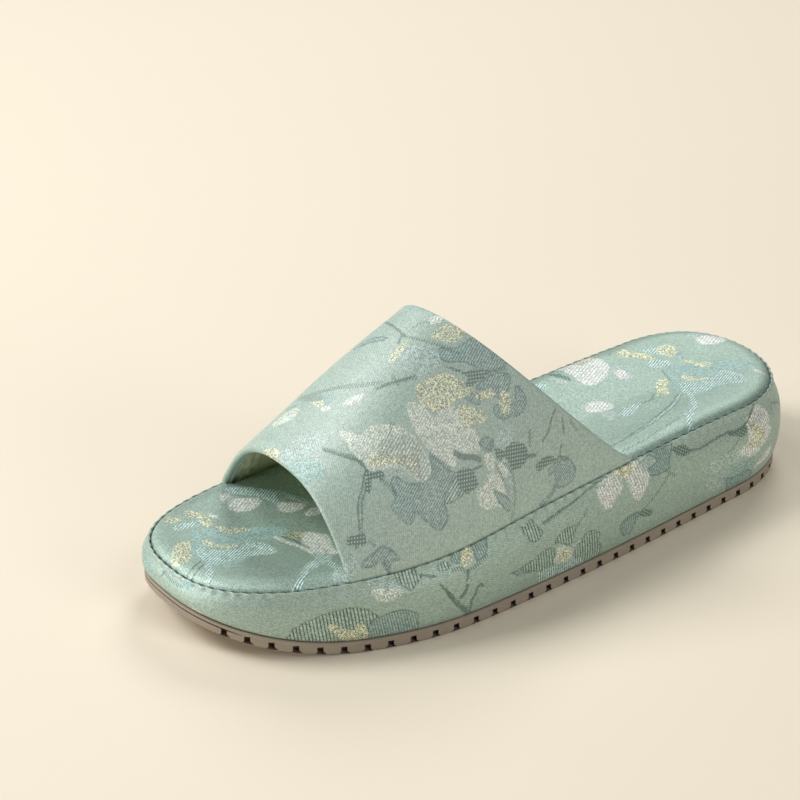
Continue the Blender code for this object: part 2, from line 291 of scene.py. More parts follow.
def add_node(tree, kind, sockets=None, **settings):
    """New node with its settings, its sockets each given a value or a link."""
    made = tree.nodes.new(kind)
    for name, value in settings.items():
        setattr(made, name, value)
    for name, value in (sockets or {}).items():
        if isinstance(value, bpy.types.NodeSocket):
            tree.links.new(value, made.inputs[name])
        else:
            made.inputs[name].default_value = value
    return made


def mix_colour(tree, share, under, over):
    made = add_node(tree, "ShaderNodeMix", {0: share, 6: under, 7: over}, data_type="RGBA")
    return made.outputs[2]


def number(tree, operation, *values):
    made = add_node(tree, "ShaderNodeMath", dict(enumerate(values)), operation=operation)
    return made.outputs[0]


def new_material(name, roughness):
    material = bpy.data.materials.new(name)
    material.use_nodes = True
    coat = material.node_tree.nodes["Principled BSDF"]
    coat.inputs["Roughness"].default_value = roughness
    return material, material.node_tree, coat


def own_place(tree):
    return add_node(tree, "ShaderNodeTexCoord").outputs["Object"]


def noise(tree, place, scale, detail):
    made = add_node(tree, "ShaderNodeTexNoise", {"Vector": place, "Scale": scale, "Detail": detail})
    return made.outputs["Fac"]


def roughen(tree, coat, height, strength, distance):
    """Fine relief, as a bump of the surface by a height from 0 to about 1."""
    bump = add_node(tree, "ShaderNodeBump", {"Strength": strength, "Distance": distance, "Height": height})
    tree.links.new(bump.outputs["Normal"], coat.inputs["Normal"])


rubber, tree, coat = new_material("taupe_rubber", 0.72)
mottle = noise(tree, own_place(tree), 90.0, 4.0)
grain = noise(tree, own_place(tree), 2600.0, 2.0)
tone = mix_colour(tree, mottle, colour(152, 140, 124), colour(168, 156, 140))
tone = mix_colour(tree, number(tree, "MULTIPLY", grain, 0.25), tone, colour(122, 109, 95))
tree.links.new(tone, coat.inputs["Base Color"])
roughen(tree, coat, grain, 0.35, 0.0002)
# Painted shade: the notch walls get a darker rubber that stands in for the shadow inside the notches.
painted_shade_rubber, tree, coat = new_material("painted_shade_rubber", 0.85)
coat.inputs["Base Color"].default_value = colour(98, 86, 74)
for material in (rubber, painted_shade_rubber):
    outsole.data.materials.append(material)
    cutter_mesh.materials.append(material)
# The faces cut by the notches take the darker rubber of painted shade.
notch_wall_painted_shade = np.ones(len(cutter_mesh.polygons), dtype=np.int32)
cutter_mesh.polygons.foreach_set("material_index", notch_wall_painted_shade)
cutter = bpy.data.objects.new("notch_cutter", cutter_mesh)
bpy.context.collection.objects.link(cutter)
cut = outsole.modifiers.new("notches", "BOOLEAN")
cut.operation = "DIFFERENCE"
cut.solver = "EXACT"
cut.object = cutter
bpy.ops.object.select_all(action="DESELECT")
outsole.select_set(True)
bpy.context.view_layer.objects.active = outsole
bpy.ops.object.modifier_apply(modifier=cut.name)
bpy.data.objects.remove(cutter)
bpy.ops.object.shade_smooth_by_angle(angle=TOOTH_CREASE)
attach(outsole, "root")
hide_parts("outsole")

# Platform: a foam slab wrapped in one strip of sage floral brocade. The cloth is tucked in above
# the outsole, swells over the side and is folded down into the seam round the top edge.
SEAM_COLUMNS = ("along", "height")
SEAM_ROWS = (
    (0.00, 25.0),
    (0.25, 29.5),
    (0.50, 36.0),
    (0.75, 37.5),
    (1.00, 35.0),
)
SEAM_INSET = 2.5
LEDGE_DROP = 1.4
PIECE_GAP = 0.3
COVER_COLUMNS = ("step", "rise", "swell", "tuck", "lift")
COVER_ROWS = (
    (0.0, 0.00, 0.00, 6.00, 0.00),
    (2.6, 0.00, 0.00, 3.20, 0.00),
    (4.4, 0.01, 0.15, 0.80, 0.00),
    (6.0, 0.06, 0.35, 0.30, 0.00),
    (7.2, 0.10, 0.50, 0.15, 0.00),
    (13.0, 0.30, 0.90, 0.00, 0.00),
    (20.0, 0.55, 1.00, 0.00, 0.00),
    (27.0, 0.78, 0.60, 0.25, 0.00),
    (30.6, 0.90, 0.15, 0.95, 0.00),
    (33.0, 0.97, 0.00, 1.50, 0.20),
    (34.0, 1.00, 0.00, 1.78, 0.78),
    (34.6, 1.00, 0.00, 2.10, 1.10),
    (35.1, 1.00, 0.00, 2.42, 0.98),
    (35.7, 1.00, 0.00, 2.70, 0.55),
    (36.5, 1.00, 0.00, 2.85, -0.30),
)
TOE_SWELL = 0.7
HEEL_SWELL = 1.8
COVER_STATIONS = 1160
COVER_STEPS = np.concatenate([
    np.linspace(0.0, 4.4, 5),
    np.linspace(5.0, 30.6, 48),
    np.linspace(31.0, 36.5, 18),
])
SIDE_WAVE = 0.22
SIDE_WAVE_LENGTH = 23.0
SIDE_WAVE_LEAN = 0.13
SIDE_WAVE_START = 6.0
SIDE_WAVE_EASE = 8.0
PUCKER_START = 24.0
PUCKER_EASE = 8.0
GATHER = 0.20
GATHER_START = 31.0
GATHER_EASE = 3.0
FOLD_STEP = 34.2
STITCH_PITCH = 4.6


def seam_height(y):
    return read(SEAM_COLUMNS, SEAM_ROWS, "height", along_of(y))


THREADS = (
    "mist", "aqua", "rose", "slate", "ribs", "stripe", "silver", "frost", "gold", "hatch", "ticks", "line",
)
WAY_STEPS = 6
FIGURE_MARGIN = 3.0
FAR_FROM_FIGURES = 9.0
SIDE_GRAIN = 8.0
SIDE_REPEAT = 321.0
SIDE_OVERLAP = 0.06 * SIDE_REPEAT
# Woven figures of the side, thread by thread, in millimetres: along the edge from the toe tip by
# the outer side, and up from the fold at the seam. A line also has its width.
SIDE_SHAPES = (
    ("aqua", ((10, -3), (11, -1), (14, -0.5), (17, -1), (15.5, -2.7), (12, -3.4))),
    ("rose", ((15, -11.5), (17, -8.8), (20, -9), (22, -10.5), (20, -12))),
    ("stripe", (
        (51, -18), (53, -14), (57, -11.2), (61, -9.8), (65, -8.7), (69, -8), (73, -8.1), (77, -9),
        (80, -10.5), (82, -12.6), (83.5, -14.6), (80.5, -15.5), (80, -19), (79, -24), (77, -28),
        (60, -28), (52, -26),
    )),
    ("gold", (
        (65, -14), (68, -14), (71, -16.2), (74, -18), (75, -15.5), (77.5, -15.2), (79, -18),
        (79.5, -22), (78, -26), (72, -26), (70, -21), (68, -18),
    )),
    ("slate", (
        (80, -16.5), (82, -14.6), (85, -13.8), (89, -13.3), (93, -14), (96.3, -16.3), (98, -18.6),
        (97.4, -20.5), (98, -24), (95, -28), (80, -28), (79.2, -22),
    )),
    ("mist", (
        (80.5, 1), (81, -4), (82, -7), (85, -8.5), (90, -9), (94, -8), (92, -5), (90.5, -2), (90, 1),
    )),
    ("rose", (
        (80.8, -4), (82, -7), (85, -8.6), (89, -8.8), (92, -7.4), (90, -5.4), (86, -4.2), (83, -3.4),
    )),
    ("stripe", (
        (90, 1), (90.5, -3), (93, -5.5), (95, -7.3), (97.5, -5.5), (99.5, -3.5), (98, -1), (97, 1),
    )),
    ("stripe", ((105.3, -2.5), (107, -0.8), (110, -1.5), (111, -3.6), (109, -4.7), (107, -4.2))),
    ("slate", ((112, 1), (111.3, -2), (113, -3.6), (115.2, -4), (115.5, -1), (114.5, 1))),
    ("gold", ((115, -5), (115.4, -2), (116.5, 1), (120, 1), (120.5, -3.5), (118, -6))),
    ("slate", ((120.3, 1), (120.8, -4.5), (122, -6), (125, -5.6), (126.8, -3), (126.5, 1))),
    ("hatch", ((107, -10.3), (109.2, -12.5), (111.2, -15), (110.6, -16.8), (109, -15.5), (108.2, -13))),
    ("stripe", (
        (141.5, -2), (144, -3), (147, -1.5), (148.5, -4), (150, -6.5), (151, -8.6), (149.5, -10),
        (147, -10.5), (145, -9.5), (143.6, -6.5), (142, -4.5),
    )),
    ("stripe", (
        (155.5, -15), (158, -12.6), (161, -11.3), (164, -11.6), (167, -12.4), (166, -15), (165, -18),
        (163, -19), (160.5, -17.5), (158, -16),
    )),
    ("stripe", (
        (141, -17.4), (145, -17), (149, -15.9), (153, -15.4), (156, -17), (157, -19), (155.5, -22),
        (155, -25), (150, -24), (146, -22), (141, -20.4),
    )),
    ("slate", (
        (135.3, -17), (138, -17.6), (142, -17.2), (146, -17), (146, -21.8), (141, -20.6), (138, -19.5),
    )),
    ("frost", (
        (149, -24), (155, -24.3), (160, -25.6), (166, -26), (170, -28), (171, -34), (153, -34),
        (150, -29),
    )),
    ("stripe", (
        (165, -24), (168, -19.6), (171, -17.7), (174, -17.5), (176.5, -19), (178.5, -20.8), (178, -24),
        (180, -28), (180, -34), (170, -34), (167, -27),
    )),
    ("rose", ((156, -19), (158.5, -17), (161, -18), (163.5, -20.5), (160, -21.5), (157.5, -21))),
    ("rose", (
        (155.3, -22), (158, -20), (160, -18.6), (162, -19.5), (164.5, -21), (167, -23.5), (165, -26),
        (159, -25),
    )),
    ("gold", (
        (157.6, -22), (159, -20.6), (161, -20.2), (163, -21.2), (164, -23), (162, -24.4), (159, -23.8),
    )),
    ("silver", ((164.4, -20.2), (166, -19.3), (168.4, -19.4), (167.5, -20.4))),
    ("mist", (
        (178, -4), (178.5, -8), (180.5, -11.4), (183.5, -13), (186, -11), (189, -9), (190.6, -6),
        (192, -3), (194, 1), (179, 1),
    )),
    ("silver", (
        (178, -4), (178.5, -8), (180.5, -11.4), (183.5, -13), (186, -11), (189, -9), (190.6, -6),
        (189, -2), (188.4, 1), (182, 0), (180, -2),
    )),
    ("silver", (
        (192, -1.5), (192.5, -6), (194, -11), (196, -14.5), (198.5, -15.7), (201, -13), (203, -10),
        (204, -6), (202.5, -4), (200, -1), (199, 1), (194, 1),
    )),
    ("gold", ((187.5, 1), (189, -2), (191, -4), (194.5, -4.5), (197, -2), (196, 1))),
    ("mist", ((199.4, 1), (201.5, -3.5), (206, -4.6), (208.6, -3), (206, -1), (204, 1))),
    ("slate", (
        (204, 1), (207, -1.5), (209, -3.5), (206, -5), (203.6, -5), (204, -8), (208, -9.2), (212, -9.3),
        (215, -8.6), (215, -6), (217.5, -3), (216, 1),
    )),
    ("hatch", (
        (217, -2), (220, -2.4), (223, -2.6), (225.5, -4.4), (226, -6.5), (223, -7), (220, -6),
        (218.5, -4.5),
    )),
    ("hatch", ((197, -21.5), (200, -20.4), (205, -22), (205, -24.6), (202, -24), (199, -22.6))),
    ("slate", ((188.5, -22), (193, -20), (198, -20.3), (197, -24), (194, -28), (190, -27))),
    ("hatch", ((245.5, -6.2), (250, -6.5), (256.5, -6.5), (257, -9), (254, -10), (250, -8.6))),
    ("mist", (
        (233, -17), (236, -14.6), (241, -14), (247, -13.8), (251, -13), (255, -15), (255, -18),
        (252, -20.6), (246, -20), (240, -20.6), (236, -20), (234.5, -18.5),
    )),
    ("mist", (
        (235, -21.5), (238, -21), (242, -20.8), (247, -22), (246, -25), (243, -27.6), (238, -28),
        (235, -25),
    )),
    ("aqua", (
        (247, -22), (253, -21), (259, -20.5), (262, -22), (261, -26), (264, -32), (250, -33),
        (247, -27),
    )),
    ("slate", ((246, -25), (251, -26), (258, -25.5), (261, -28), (262, -34), (250, -34), (247, -29))),
    ("silver", (
        (257.5, -4), (262, -3), (266, -1), (271, -4), (273, -8), (271, -11), (273, -13), (270, -16.5),
        (266, -18.5), (262, -20), (258, -20), (254.6, -18.5), (252, -16.5), (254, -14), (257, -12.5),
        (257, -8),
    )),
    ("gold", (
        (259, -6), (262, -7), (266, -10), (267.5, -14), (265, -17), (261, -17), (257.5, -15),
        (260, -11),
    )),
    ("silver", (
        (262, -26), (265, -24), (269, -22), (272, -21), (275, -22.5), (274, -25), (268, -26.5),
        (264, -27),
    )),
    ("slate", ((286, -8), (289, -12), (294, -17), (299, -20), (301, -17), (297, -12), (292, -8))),
    ("aqua", ((305, -6), (308, -3), (313, -3), (317, -6), (316, -10), (311, -12), (307, -10))),
    ("gold", ((303, -12), (306, -11), (310, -13.5), (313, -13), (311, -16), (306, -15.5))),
)
SIDE_LINES = (
    ("ticks", 1.3, ((0, -2), (5, -2.9), (11, -2.7))),
    ("line", 0.9, ((99.5, -3), (102, -4), (104.6, -5.2))),
    ("ticks", 1.6, ((111, -5.4), (114, -5.6), (116.5, -7.5), (120, -7.4), (123, -6.4), (126, -5.6))),
    ("line", 1.1, ((116.8, -7.5), (116.9, -9), (116.4, -11))),
    ("line", 1.5, ((116.5, -13), (116, -15), (114, -17))),
    ("line", 1.0, ((106, -8.7), (108, -11.5), (110, -15.5), (112.5, -19.5), (116, -24), (119, -29))),
    ("line", 0.7, ((110.8, -15.2), (114, -20), (118, -25), (120.5, -29))),
    ("line", 1.1, (
        (123, -16.4), (122, -15.3), (120.6, -16), (120.2, -17.8), (118.6, -20.5), (118.2, -25.5),
    )),
    ("line", 0.8, ((151.5, -5.3), (158, -4.4), (165, -3.7), (172, -2.4), (178, -0.9), (184, -0.5))),
    ("ticks", 1.4, ((152, -5.7), (156, -5.1), (160, -4.6))),
    ("ticks", 1.0, ((167, -12.4), (170, -10.8), (172, -8.2))),
    ("ticks", 1.1, ((200, -20.4), (204, -18.5), (209, -15), (213, -11.4))),
    ("ticks", 1.0, ((189, -22), (193, -20.3), (198, -20.2))),
    ("ticks", 1.2, ((213, -9.6), (216, -12), (217.5, -12.6))),
    ("line", 0.9, (
        (226, -6), (232, -7), (240, -6.3), (246, -6), (252, -6.6), (257, -5.8), (262, -2.5), (265, 1),
    )),
    ("ticks", 1.1, ((246, -14), (249, -12.5), (252, -10.4))),
    ("line", 0.8, ((278, -5), (286, -9), (292, -17), (294, -26))),
)


def drawn_way(points, closed):
    """Smooth way through points given on the cloth, a few steps from each to the next."""
    points = np.array(points, dtype=float)
    around = np.vstack([points[-1:], points, points[:2]] if closed else [points[:1], points, points[-1:]])
    t = np.linspace(0.0, 1.0, WAY_STEPS, endpoint=False)[:, None]
    way = []
    for before, start, end, after in zip(around[:-3], around[1:-2], around[2:-1], around[3:]):
        bend = 2.0 * before - 5.0 * start + 4.0 * end - after
        twist = 3.0 * (start - end) + after - before
        way.append(start + 0.5 * t * (end - before + t * (bend + t * twist)))
    return np.vstack([*way, points[:1] if closed else points[-1:]])


def way_distance(places, way):
    """Distance from each place on the cloth to a drawn way."""
    found = np.full(len(places), np.inf)
    for start, run in zip(way[:-1], np.diff(way, axis=0)):
        away = places - start
        share = np.clip(away @ run / max(run @ run, 1.0e-9), 0.0, 1.0)
        found = np.minimum(found, np.hypot(*(away - share[:, None] * run).T))
    return found


def within(places, way):
    """True for the places a closed way goes round."""
    odd = np.zeros(len(places), dtype=bool)
    for start, end in zip(way[:-1], way[1:]):
        if start[1] == end[1]:
            continue
        crossed = (start[1] > places[:, 1]) != (end[1] > places[:, 1])
        meet = start[0] + (places[:, 1] - start[1]) * (end[0] - start[0]) / (end[1] - start[1])
        odd ^= crossed & (places[:, 0] < meet)
    return odd


def woven_figures(shapes, lines, places):
    """For each thread, how far every place on the cloth is from its figures, less than 0 inside."""
    reach = {thread: np.full(len(places), FAR_FROM_FIGURES) for thread in THREADS}
    for thread, *width, points in (*shapes, *lines):
        way = drawn_way(points, closed=not width)
        low, high = way.min(axis=0) - FIGURE_MARGIN, way.max(axis=0) + FIGURE_MARGIN
        near = np.all((places > low) & (places < high), axis=1)
        found = way_distance(places[near], way)
        if width:
            found = found - width[0] / 2.0
        else:
            found = np.where(within(places[near], way), -found, found)
        reach[thread][near] = np.minimum(reach[thread][near], found)
    return reach


def moved(rows, step_u, step_v, keep):
    """The drawn figures once more, further along the cloth, where "keep" wants them."""
    again = [(*row[:-1], tuple((u + step_u, v + step_v) for u, v in row[-1])) for row in rows]
    return [row for row in again if keep(*np.mean(row[-1], axis=0))]


def weave_into(piece, shapes, lines, u, v, grain):
    """Keep the cloth's own coordinates and its figures on the piece, point by point."""
    places = np.column_stack([u.ravel(), v.ravel()])
    turned = math.radians(grain)
    cloth = np.column_stack([
        places[:, 0] * math.cos(turned) + places[:, 1] * math.sin(turned),
        places[:, 1] * math.cos(turned) - places[:, 0] * math.sin(turned),
        np.zeros(len(places)),
    ])
    own = piece.data.attributes.new("cloth", "FLOAT_VECTOR", "POINT")
    own.data.foreach_set("vector", cloth.ravel().astype(np.float32))
    for thread, reach in woven_figures(shapes, lines, places).items():
        kept = piece.data.attributes.new(thread, "FLOAT", "POINT")
        kept.data.foreach_set("value", reach.astype(np.float32))


edge, edge_normal, walked = sole_loop(COVER_STATIONS)
edge[-1], edge_normal[-1] = edge[0], edge_normal[0]
fullness = TOE_SWELL + (HEEL_SWELL - TOE_SWELL) * smooth_step(along_of(edge[:, 1]))
cover_points = []
for step in COVER_STEPS:
    rise, swell, tuck, lift = (read(COVER_COLUMNS, COVER_ROWS, name, step) for name in COVER_COLUMNS[1:])
    pucker = smooth_step((step - PUCKER_START) / PUCKER_EASE)
    wave = SIDE_WAVE * np.sin(walked / SIDE_WAVE_LENGTH + SIDE_WAVE_LEAN * step)
    wave = wave * smooth_step((step - SIDE_WAVE_START) / SIDE_WAVE_EASE) * (1.0 - pucker)
    gather = GATHER * smooth_step((step - GATHER_START) / GATHER_EASE)
    gather = gather * np.sin(2.0 * np.pi * walked / STITCH_PITCH)
    plan = edge - edge_normal * (tuck - swell * fullness - wave - gather)[:, None]
    foot = spring_height(plan[:, 1]) + OUTSOLE_THICKNESS + PIECE_GAP
    head = seam_height(plan[:, 1]) - LEDGE_DROP
    cover_points.append(np.column_stack([plan, foot + (head - foot) * rise + lift]))
cover_points = np.stack(cover_points)
cover = lay_grid("platform_cover", cover_points)


def walked_along(points, axis):
    """Way walked along the rows or the columns of a grid of points."""
    steps = np.linalg.norm(np.diff(points, axis=axis), axis=2)
    start = np.zeros_like(np.take(steps, [0], axis=axis))
    return np.concatenate([start, np.cumsum(steps, axis=axis)], axis=axis)


fall = walked_along(cover_points, 0)
side_v = fall - fall[np.argmin(np.abs(COVER_STEPS - FOLD_STEP))]
side_u = np.where(walked < 1.5 * SIDE_REPEAT, walked, walked - 2.0 * SIDE_REPEAT)
side_u = np.broadcast_to(side_u, side_v.shape)
shapes, lines = (
    [
        *rows,
        *moved(rows, SIDE_REPEAT, 0.0, lambda u, v: u < 1.5 * SIDE_REPEAT + SIDE_OVERLAP),
        *moved(rows, -SIDE_REPEAT, 0.0, lambda u, v: u > -0.5 * SIDE_REPEAT - SIDE_OVERLAP),
    ]
    for rows in (SIDE_SHAPES, SIDE_LINES)
)
weave_into(cover, shapes, lines, side_u, side_v, SIDE_GRAIN)
close_piece(cover)

brocade = bpy.data.node_groups.new("brocade_weave", "ShaderNodeTree")
for socket, side, kind in (
    ("Ground Satin", "INPUT", "NodeSocketFloat"),
    ("Figure Satin", "INPUT", "NodeSocketFloat"),
    ("Colour", "OUTPUT", "NodeSocketColor"),
    ("Roughness", "OUTPUT", "NodeSocketFloat"),
    ("Metal", "OUTPUT", "NodeSocketFloat"),
    ("Relief", "OUTPUT", "NodeSocketFloat"),
):
    brocade.interface.new_socket(socket, in_out=side, socket_type=kind)
given = add_node(brocade, "NodeGroupInput").outputs
cloth = add_node(brocade, "ShaderNodeAttribute", attribute_name="cloth").outputs["Vector"]
along_weft, across_weft, _ = add_node(brocade, "ShaderNodeSeparateXYZ", {"Vector": cloth}).outputs
fuzz = noise(brocade, cloth, 1.9, 2.0)
cloud = noise(brocade, cloth, 0.06, 3.0)
patch = noise(brocade, cloth, 0.22, 2.0)


def floats(long, high):
    """Random values for each float of weft, in rows whose floats start at random places."""
    row = number(brocade, "SNAP", across_weft, high)
    start = add_node(brocade, "ShaderNodeTexWhiteNoise", {"W": row}, noise_dimensions="1D").outputs["Value"]
    start = number(brocade, "MULTIPLY_ADD", start, long, along_weft)
    cell = add_node(brocade, "ShaderNodeCombineXYZ", {"X": number(brocade, "SNAP", start, long), "Y": row})
    value = add_node(brocade, "ShaderNodeTexWhiteNoise", {"Vector": cell.outputs["Vector"]})
    return add_node(brocade, "ShaderNodeSeparateColor", {"Color": value.outputs["Color"]}).outputs


def ribbing(pitch, lean, wobble=0.0):
    """Even ribs from 0 to 1 across the cloth, leaning by an angle from its length."""
    turned = math.radians(lean)
    run = add_node(brocade, "ShaderNodeVectorMath", {0: cloth}, operation="DOT_PRODUCT")
    run.inputs[1].default_value = (math.cos(turned) / pitch, math.sin(turned) / pitch, 0.0)
    run = number(brocade, "MULTIPLY_ADD", fuzz, wobble, run.outputs["Value"])
    wave = number(brocade, "PINGPONG", run, 0.5)
    return number(brocade, "MULTIPLY", wave, 2.0)


def step_up(value, low, high):
    made = add_node(brocade, "ShaderNodeMapRange", {"Value": value, "From Min": low, "From Max": high})
    return made.outputs["Result"]


FLOAT_HEIGHT = 0.36
pick = floats(0.5, FLOAT_HEIGHT)
speck = floats(0.8, 0.48)
fleck = floats(0.42, 0.36)
weft = ribbing(FLOAT_HEIGHT, 90.0)
fray = number(brocade, "MULTIPLY_ADD", pick["Red"], 0.5, -0.25)


def inside(thread, low=0.15, high=-0.15):
    """1 on the thread's figures and 0 off them, with the edge stepped by the weave."""
    reach = add_node(brocade, "ShaderNodeAttribute", attribute_name=thread).outputs["Fac"]
    return step_up(number(brocade, "ADD", reach, fray), low, high)


GROUND = (0.385, 0.515, 0.437)


def dye(red, green, blue):
    """Colour of a thread, given against the ground cloth."""
    return (GROUND[0] * red, GROUND[1] * green, GROUND[2] * blue, 1.0)


twill = ribbing(0.8, 52.0, 0.35)
bars = step_up(ribbing(1.2, 0.0, 0.25), 0.25, 0.75)
fine_bars = step_up(ribbing(0.95, 4.0, 0.25), 0.2, 0.8)
thin_bars = step_up(ribbing(1.25, 4.0, 0.25), 0.5, 0.9)
frost_bars = step_up(ribbing(1.0, 4.0, 0.25), 0.2, 0.6)
cross = number(brocade, "MULTIPLY", *(step_up(ribbing(1.15, lean), 0.4, 0.75) for lean in (45.0, -45.0)))
sage = mix_colour(brocade, cloud, dye(0.98, 0.98, 0.98), dye(1.06, 1.06, 1.06))
sage = mix_colour(brocade, number(brocade, "MULTIPLY", twill, 0.8), sage, dye(0.72, 0.74, 0.74))
THREAD_LOOKS = (
    ("mist", dye(1.10, 1.08, 1.16), dye(0.74, 0.76, 0.82), twill, 0.2, 0.3),
    ("aqua", dye(0.80, 0.94, 1.00), dye(0.54, 0.72, 0.78), twill, 0.0, 0.5),
    ("rose", dye(1.74, 1.40, 1.46), dye(1.12, 1.04, 1.03), fine_bars, 0.3, 0.4),
    ("slate", dye(0.84, 0.90, 0.96), dye(0.28, 0.37, 0.41), fine_bars, 0.9, 0.25),
    ("stripe", dye(1.06, 1.07, 1.06), dye(0.11, 0.19, 0.19), bars, 0.5, 0.3),
    ("silver", dye(1.96, 1.54, 1.72), dye(0.90, 0.82, 0.85), thin_bars, 0.5, 0.2),
    ("frost", dye(1.66, 1.56, 1.70), dye(0.30, 0.52, 0.58), frost_bars, 0.0, 0.5),
)
shade = sage
relief = number(brocade, "MULTIPLY", twill, 0.4)
figured = 0.0
for thread, light, deep, ribs, rim, broken in THREAD_LOOKS:
    worn = number(brocade, "MULTIPLY", inside(thread), step_up(patch, -0.25, 0.55))
    ribs = number(brocade, "MULTIPLY_ADD", speck["Red"], broken, ribs)
    ribs = step_up(ribs, 0.4 + 0.5 * broken, 1.0 + 0.5 * broken)
    border = number(brocade, "MULTIPLY", inside(thread, -0.3, -0.8), rim)
    border = number(brocade, "SUBTRACT", rim, border)
    ribs = number(brocade, "MAXIMUM", ribs, border)
    shade = mix_colour(brocade, worn, shade, mix_colour(brocade, ribs, light, deep))
    relief = number(brocade, "MULTIPLY_ADD", worn, 0.4, relief)
    figured = number(brocade, "MAXIMUM", worn, figured)
gilded = inside("gold")
bright = number(brocade, "MULTIPLY", step_up(fleck["Red"], 0.50, 0.62), gilded)
dim = number(brocade, "MULTIPLY", step_up(fleck["Green"], 0.60, 0.72), gilded)
dark = dye(0.24, 0.33, 0.31)
hatching = mix_colour(brocade, cross, dark, dye(1.15, 1.15, 1.15))
ribbed = number(brocade, "MULTIPLY", inside("ribs"), bars)
ticked = number(brocade, "MULTIPLY", inside("ticks"), step_up(fine_bars, 0.3, 0.6))
for mask, share, thread_colour in (
    (gilded, 0.55, dye(1.16, 0.93, 0.80)),
    (dim, 0.80, dye(0.42, 0.38, 0.30)),
    (bright, 0.85, dye(2.24, 1.72, 1.40)),
    (inside("hatch"), 1.0, hatching),
    (ribbed, 0.70, dye(0.50, 0.54, 0.54)),
    (ticked, 0.85, dark),
    (inside("line"), 0.85, dark),
):
    shade = mix_colour(brocade, number(brocade, "MULTIPLY", mask, share), shade, thread_colour)
grain = number(brocade, "MULTIPLY", pick["Green"], number(brocade, "MULTIPLY_ADD", figured, 0.4, 0.5))
grain = number(brocade, "MULTIPLY_ADD", weft, 0.3, grain)
grain = number(brocade, "ADD", grain, number(brocade, "MULTIPLY_ADD", figured, -0.20, 0.62))
grained = add_node(brocade, "ShaderNodeVectorMath", {0: shade, "Scale": grain}, operation="SCALE")
relief = number(brocade, "MULTIPLY_ADD", bright, 0.5, relief)
satin = number(brocade, "SUBTRACT", given["Figure Satin"], given["Ground Satin"])
satin = number(brocade, "MULTIPLY_ADD", figured, satin, given["Ground Satin"])
add_node(brocade, "NodeGroupOutput", {
    "Colour": grained.outputs["Vector"],
    "Roughness": number(brocade, "MULTIPLY_ADD", pick["Blue"], 0.16, 0.46),
    "Metal": number(brocade, "MULTIPLY_ADD", bright, 0.15, satin),
    "Relief": number(brocade, "MULTIPLY_ADD", weft, 0.4, relief),
})


def brocade_material(name, ground_satin, figure_satin):
    """Sage satin ground with floral figures in coloured threads and gold lurex."""
    material, tree, coat = new_material(name, 0.42)
    satin = {"Ground Satin": ground_satin, "Figure Satin": figure_satin}
    weave = add_node(tree, "ShaderNodeGroup", satin, node_tree=brocade)
    tree.links.new(weave.outputs["Colour"], coat.inputs["Base Color"])
    tree.links.new(weave.outputs["Roughness"], coat.inputs["Roughness"])
    tree.links.new(weave.outputs["Metal"], coat.inputs["Metallic"])
    roughen(tree, coat, weave.outputs["Relief"], 0.35, 0.0002)
    coat.inputs["IOR"].default_value = 2.2
    coat.inputs["Sheen Weight"].default_value = 0.2
    coat.inputs["Sheen Roughness"].default_value = 0.35
    return material


cover.data.materials.append(brocade_material("platform_brocade", 0.38, 0.38))
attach(cover, "root")
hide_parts("midsole")

# Insole: a sock of the same brocade over thin foam, a little dished under the foot. Its edge is
# rolled down into the seam, and steps in where the feet of the band are caught.
BED_COLUMNS = ("inside", "drop")
BED_ROWS = (
    (0.0, LEDGE_DROP),
    (4.4, LEDGE_DROP),
    (9.0, 3.2),
    (18.0, 4.6),
    (32.0, 5.6),
    (50.0, 6.0),
)
PAD_COLUMNS = ("inside", "rise")
PAD_ROWS = (
    (0.0, -0.75),
    (0.35, -0.1),
    (0.8, 0.35),
    (1.6, 0.8),
    (4.0, 1.4),
    (10.0, 1.2),
    (20.0, 0.0),
    (34.0, -1.0),
    (50.0, -1.2),
)
BAND_COLUMNS = ("band", "outer_foot", "inner_foot", "crest", "lean", "fullness", "skew")
BAND_ROWS = (
    (0.0, -88.0, -87.5, 29.0, -2.5, 1.3, -0.07),
    (0.5, -27.0, -34.0, 48.0, -29.0, 1.65, 0.03),
    (1.0, 33.5, 20.0, 62.5, -55.0, 2.0, 0.14),
)
BAND_WALL = 2.6
BAND_SIDE_GAP = 0.9
BAND_END_EASE = 4.0
INSOLE_STATIONS = 520
INSOLE_SEAM_GAP = 0.5
RIM_INSETS = (0.0, 0.25, 0.55, 0.9, 1.3, 1.8, 2.4, 3.0, 3.6, *np.linspace(4.2, 18.0, 23))
CROWN_STEPS = np.linspace(0.0, 1.0, 91)[1:-1]
UNDER_INSETS = (1.5, 4.4, 9.0, 18.0)
EDGE_STATIONS = 260
POINTS_AT_ONCE = 4000
INSOLE_GRAIN = 25.0
